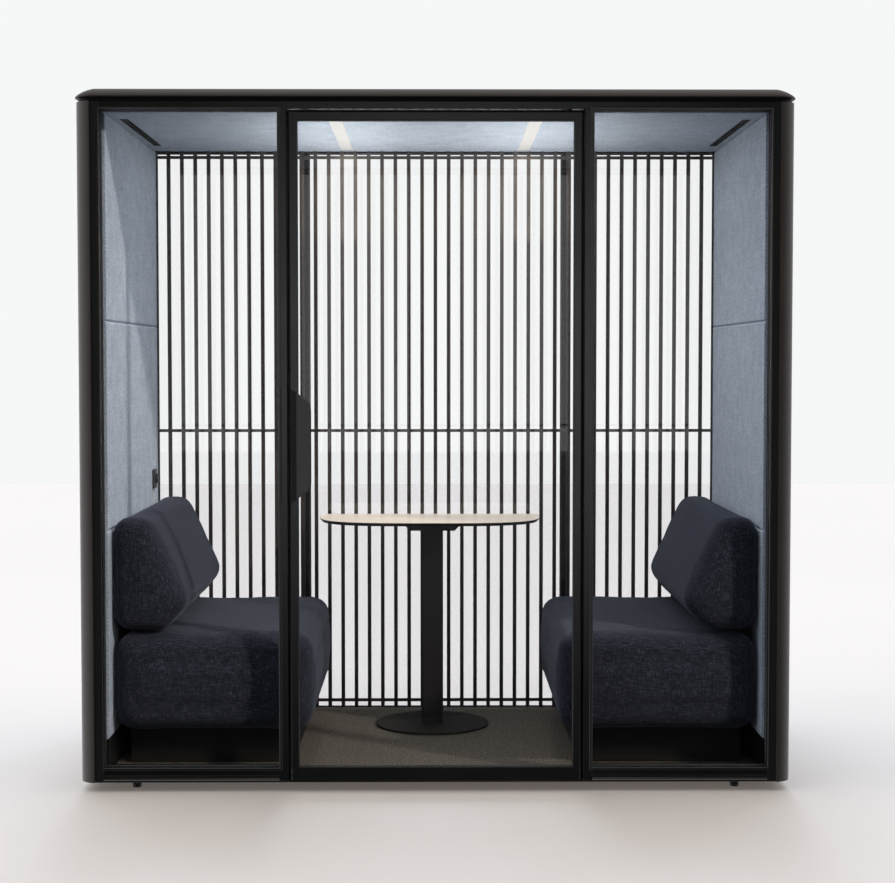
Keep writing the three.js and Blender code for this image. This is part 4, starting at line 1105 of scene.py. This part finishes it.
def studio_sky():
    """White backdrop to the camera. For light it is a bright room, dark on the camera's side.

    The dark side has one small window in it, and the room is somewhat dimmer to the right.
    """
    world = bpy.data.worlds.new("studio_sky")
    SCENE.world = world
    world.use_nodes = True
    tree = world.node_tree
    tree.nodes.clear()
    towards = add(tree, "ShaderNodeTexCoord").outputs["Generated"]
    front = add(
        tree,
        "ShaderNodeVectorMath",
        {0: towards, 1: Vector(ROOM_FRONT_AXIS).normalized()},
        operation="DOT_PRODUCT",
    )
    around = add(
        tree,
        "ShaderNodeMapRange",
        {
            "Value": front.outputs["Value"],
            "From Min": ROOM_FRONT_SPREAD[0],
            "From Max": ROOM_FRONT_SPREAD[1],
            "To Min": ROOM_LEVEL,
            "To Max": ROOM_FRONT_LEVEL,
        },
    )
    apart = add(tree, "ShaderNodeSeparateXYZ", {0: towards})
    sideways = add(
        tree,
        "ShaderNodeMapRange",
        {
            "Value": apart.outputs[0],
            "From Min": ROOM_RIGHT_SPREAD[0],
            "From Max": ROOM_RIGHT_SPREAD[1],
            "To Min": 1.0,
            "To Max": ROOM_RIGHT_SHARE,
        },
    )
    shaded = add(
        tree,
        "ShaderNodeMath",
        {0: around.outputs[0], 1: sideways.outputs[0]},
        operation="MULTIPLY",
    )
    behind_camera = add(
        tree,
        "ShaderNodeVectorMath",
        {0: towards, 1: Vector(WINDOW_AXIS).normalized()},
        operation="DOT_PRODUCT",
    )
    window = add(
        tree,
        "ShaderNodeMapRange",
        {
            "Value": behind_camera.outputs["Value"],
            "From Min": WINDOW_SPREAD[0],
            "From Max": WINDOW_SPREAD[1],
            "To Max": WINDOW_LEVEL,
        },
    )
    level = add(tree, "ShaderNodeMath", {0: shaded.outputs[0], 1: window.outputs[0]}, operation="ADD")
    path = add(tree, "ShaderNodeLightPath")
    seen = add(
        tree,
        "ShaderNodeMath",
        {0: path.outputs["Is Camera Ray"], 1: path.outputs["Is Transmission Ray"]},
        operation="MAXIMUM",
    )
    room = add(tree, "ShaderNodeBackground", {"Color": linear(ROOM_COLOUR), "Strength": level.outputs[0]})
    backdrop = add(tree, "ShaderNodeBackground", {"Color": linear(BACKDROP_WHITE), "Strength": 1.0})
    mixed = add(
        tree,
        "ShaderNodeMixShader",
        {0: seen.outputs[0], 1: room.outputs[0], 2: backdrop.outputs[0]},
    )
    add(tree, "ShaderNodeOutputWorld", {"Surface": mixed.outputs[0]})


def sun(name, strength, softness, colour, turn):
    """A far lamp in the scene, turned the way that it shines."""
    lamp = bpy.data.lights.new(name, "SUN")
    lamp.energy = strength
    lamp.angle = math.radians(softness)
    lamp.color = linear(colour)[:3]
    made = bpy.data.objects.new(name, lamp)
    SCENE.collection.objects.link(made)
    made.rotation_euler = [math.radians(angle) for angle in turn]
    return made


def key_light(kept_off):
    """One warm, fairly hard lamp from the front right, kept off the floor and the outer frame."""
    turn = (90 - SUN_HEIGHT, 0, SUN_FROM_RIGHT)
    key = sun("key", SUN_STRENGTH, SUN_SOFTNESS, SUN_COLOUR, turn)
    outside = bpy.data.collections.new("kept_off_the_key")
    for thing in kept_off:
        outside.objects.link(thing)
    key.light_linking.receiver_collection = outside
    for entry in outside.collection_objects:
        entry.light_linking.link_state = "EXCLUDE"


def floor_wash(floor):
    """Three wide soft lamps from behind the pod that light the floor only, so its shadow falls forward."""
    lit = bpy.data.collections.new("lit_by_the_wash")
    lit.objects.link(floor)
    for around, share in WASH_SHARES.items():
        turn = (WASH_HEIGHT - 90, 0, around)
        wash = sun("floor_wash", WASH_STRENGTH * share, WASH_SOFTNESS, WASH_COLOUR, turn)
        wash.light_linking.receiver_collection = lit


def strip_lamps():
    """A long soft lamp under each light strip, and one turned up for the glow round it on the ceiling."""
    for side in SIDES:
        low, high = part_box(f"{side}_light_strip")
        for use, watts, drop, turn in (
            ("strip_lamp", STRIP_WATTS, STRIP_DROP, 0.0),
            ("ceiling_glow", CEILING_GLOW_WATTS, CEILING_GLOW_DROP, math.pi),
        ):
            lamp = bpy.data.lights.new(f"{side}_{use}", "AREA")
            lamp.shape = "RECTANGLE"
            lamp.size = high.x - low.x
            lamp.size_y = high.y - low.y
            lamp.energy = watts
            lamp.color = linear(STRIP_COLOUR)[:3]
            strip = bpy.data.objects.new(f"{side}_{use}", lamp)
            SCENE.collection.objects.link(strip)
            strip.location = ((low.x + high.x) / 2, (low.y + high.y) / 2, low.z - drop)
            strip.rotation_euler = (turn, 0, 0)
            strip.visible_camera = False
            strip.visible_glossy = False
            strip.visible_transmission = False


def photo_camera():
    """The camera at the photograph's own place and angle."""
    lens = bpy.data.cameras.new("photo_camera")
    lens.sensor_fit = "HORIZONTAL"
    lens.sensor_width = SENSOR_WIDTH
    lens.lens = CAMERA_LENS
    camera = bpy.data.objects.new("photo_camera", lens)
    SCENE.collection.objects.link(camera)
    camera.location = CAMERA_PLACE
    camera.rotation_euler = (math.radians(90 - CAMERA_TILT_DOWN), 0, math.radians(-CAMERA_TURN_RIGHT))
    SCENE.camera = camera


OUTER_FRAME = (
    "corner_post",
    "roof",
    "front_sill",
    "front_header",
    "front_mullion",
    "door_frame",
    "door_handle",
    "rear_",
)
floor = studio_floor()
studio_sky()
shell = [node for name, node in NODES.items() if name.startswith(OUTER_FRAME) or "outer_panel" in name]
key_light([floor, *shell])
floor_wash(floor)
strip_lamps()
photo_camera()
SCENE.view_settings.view_transform = "Standard"
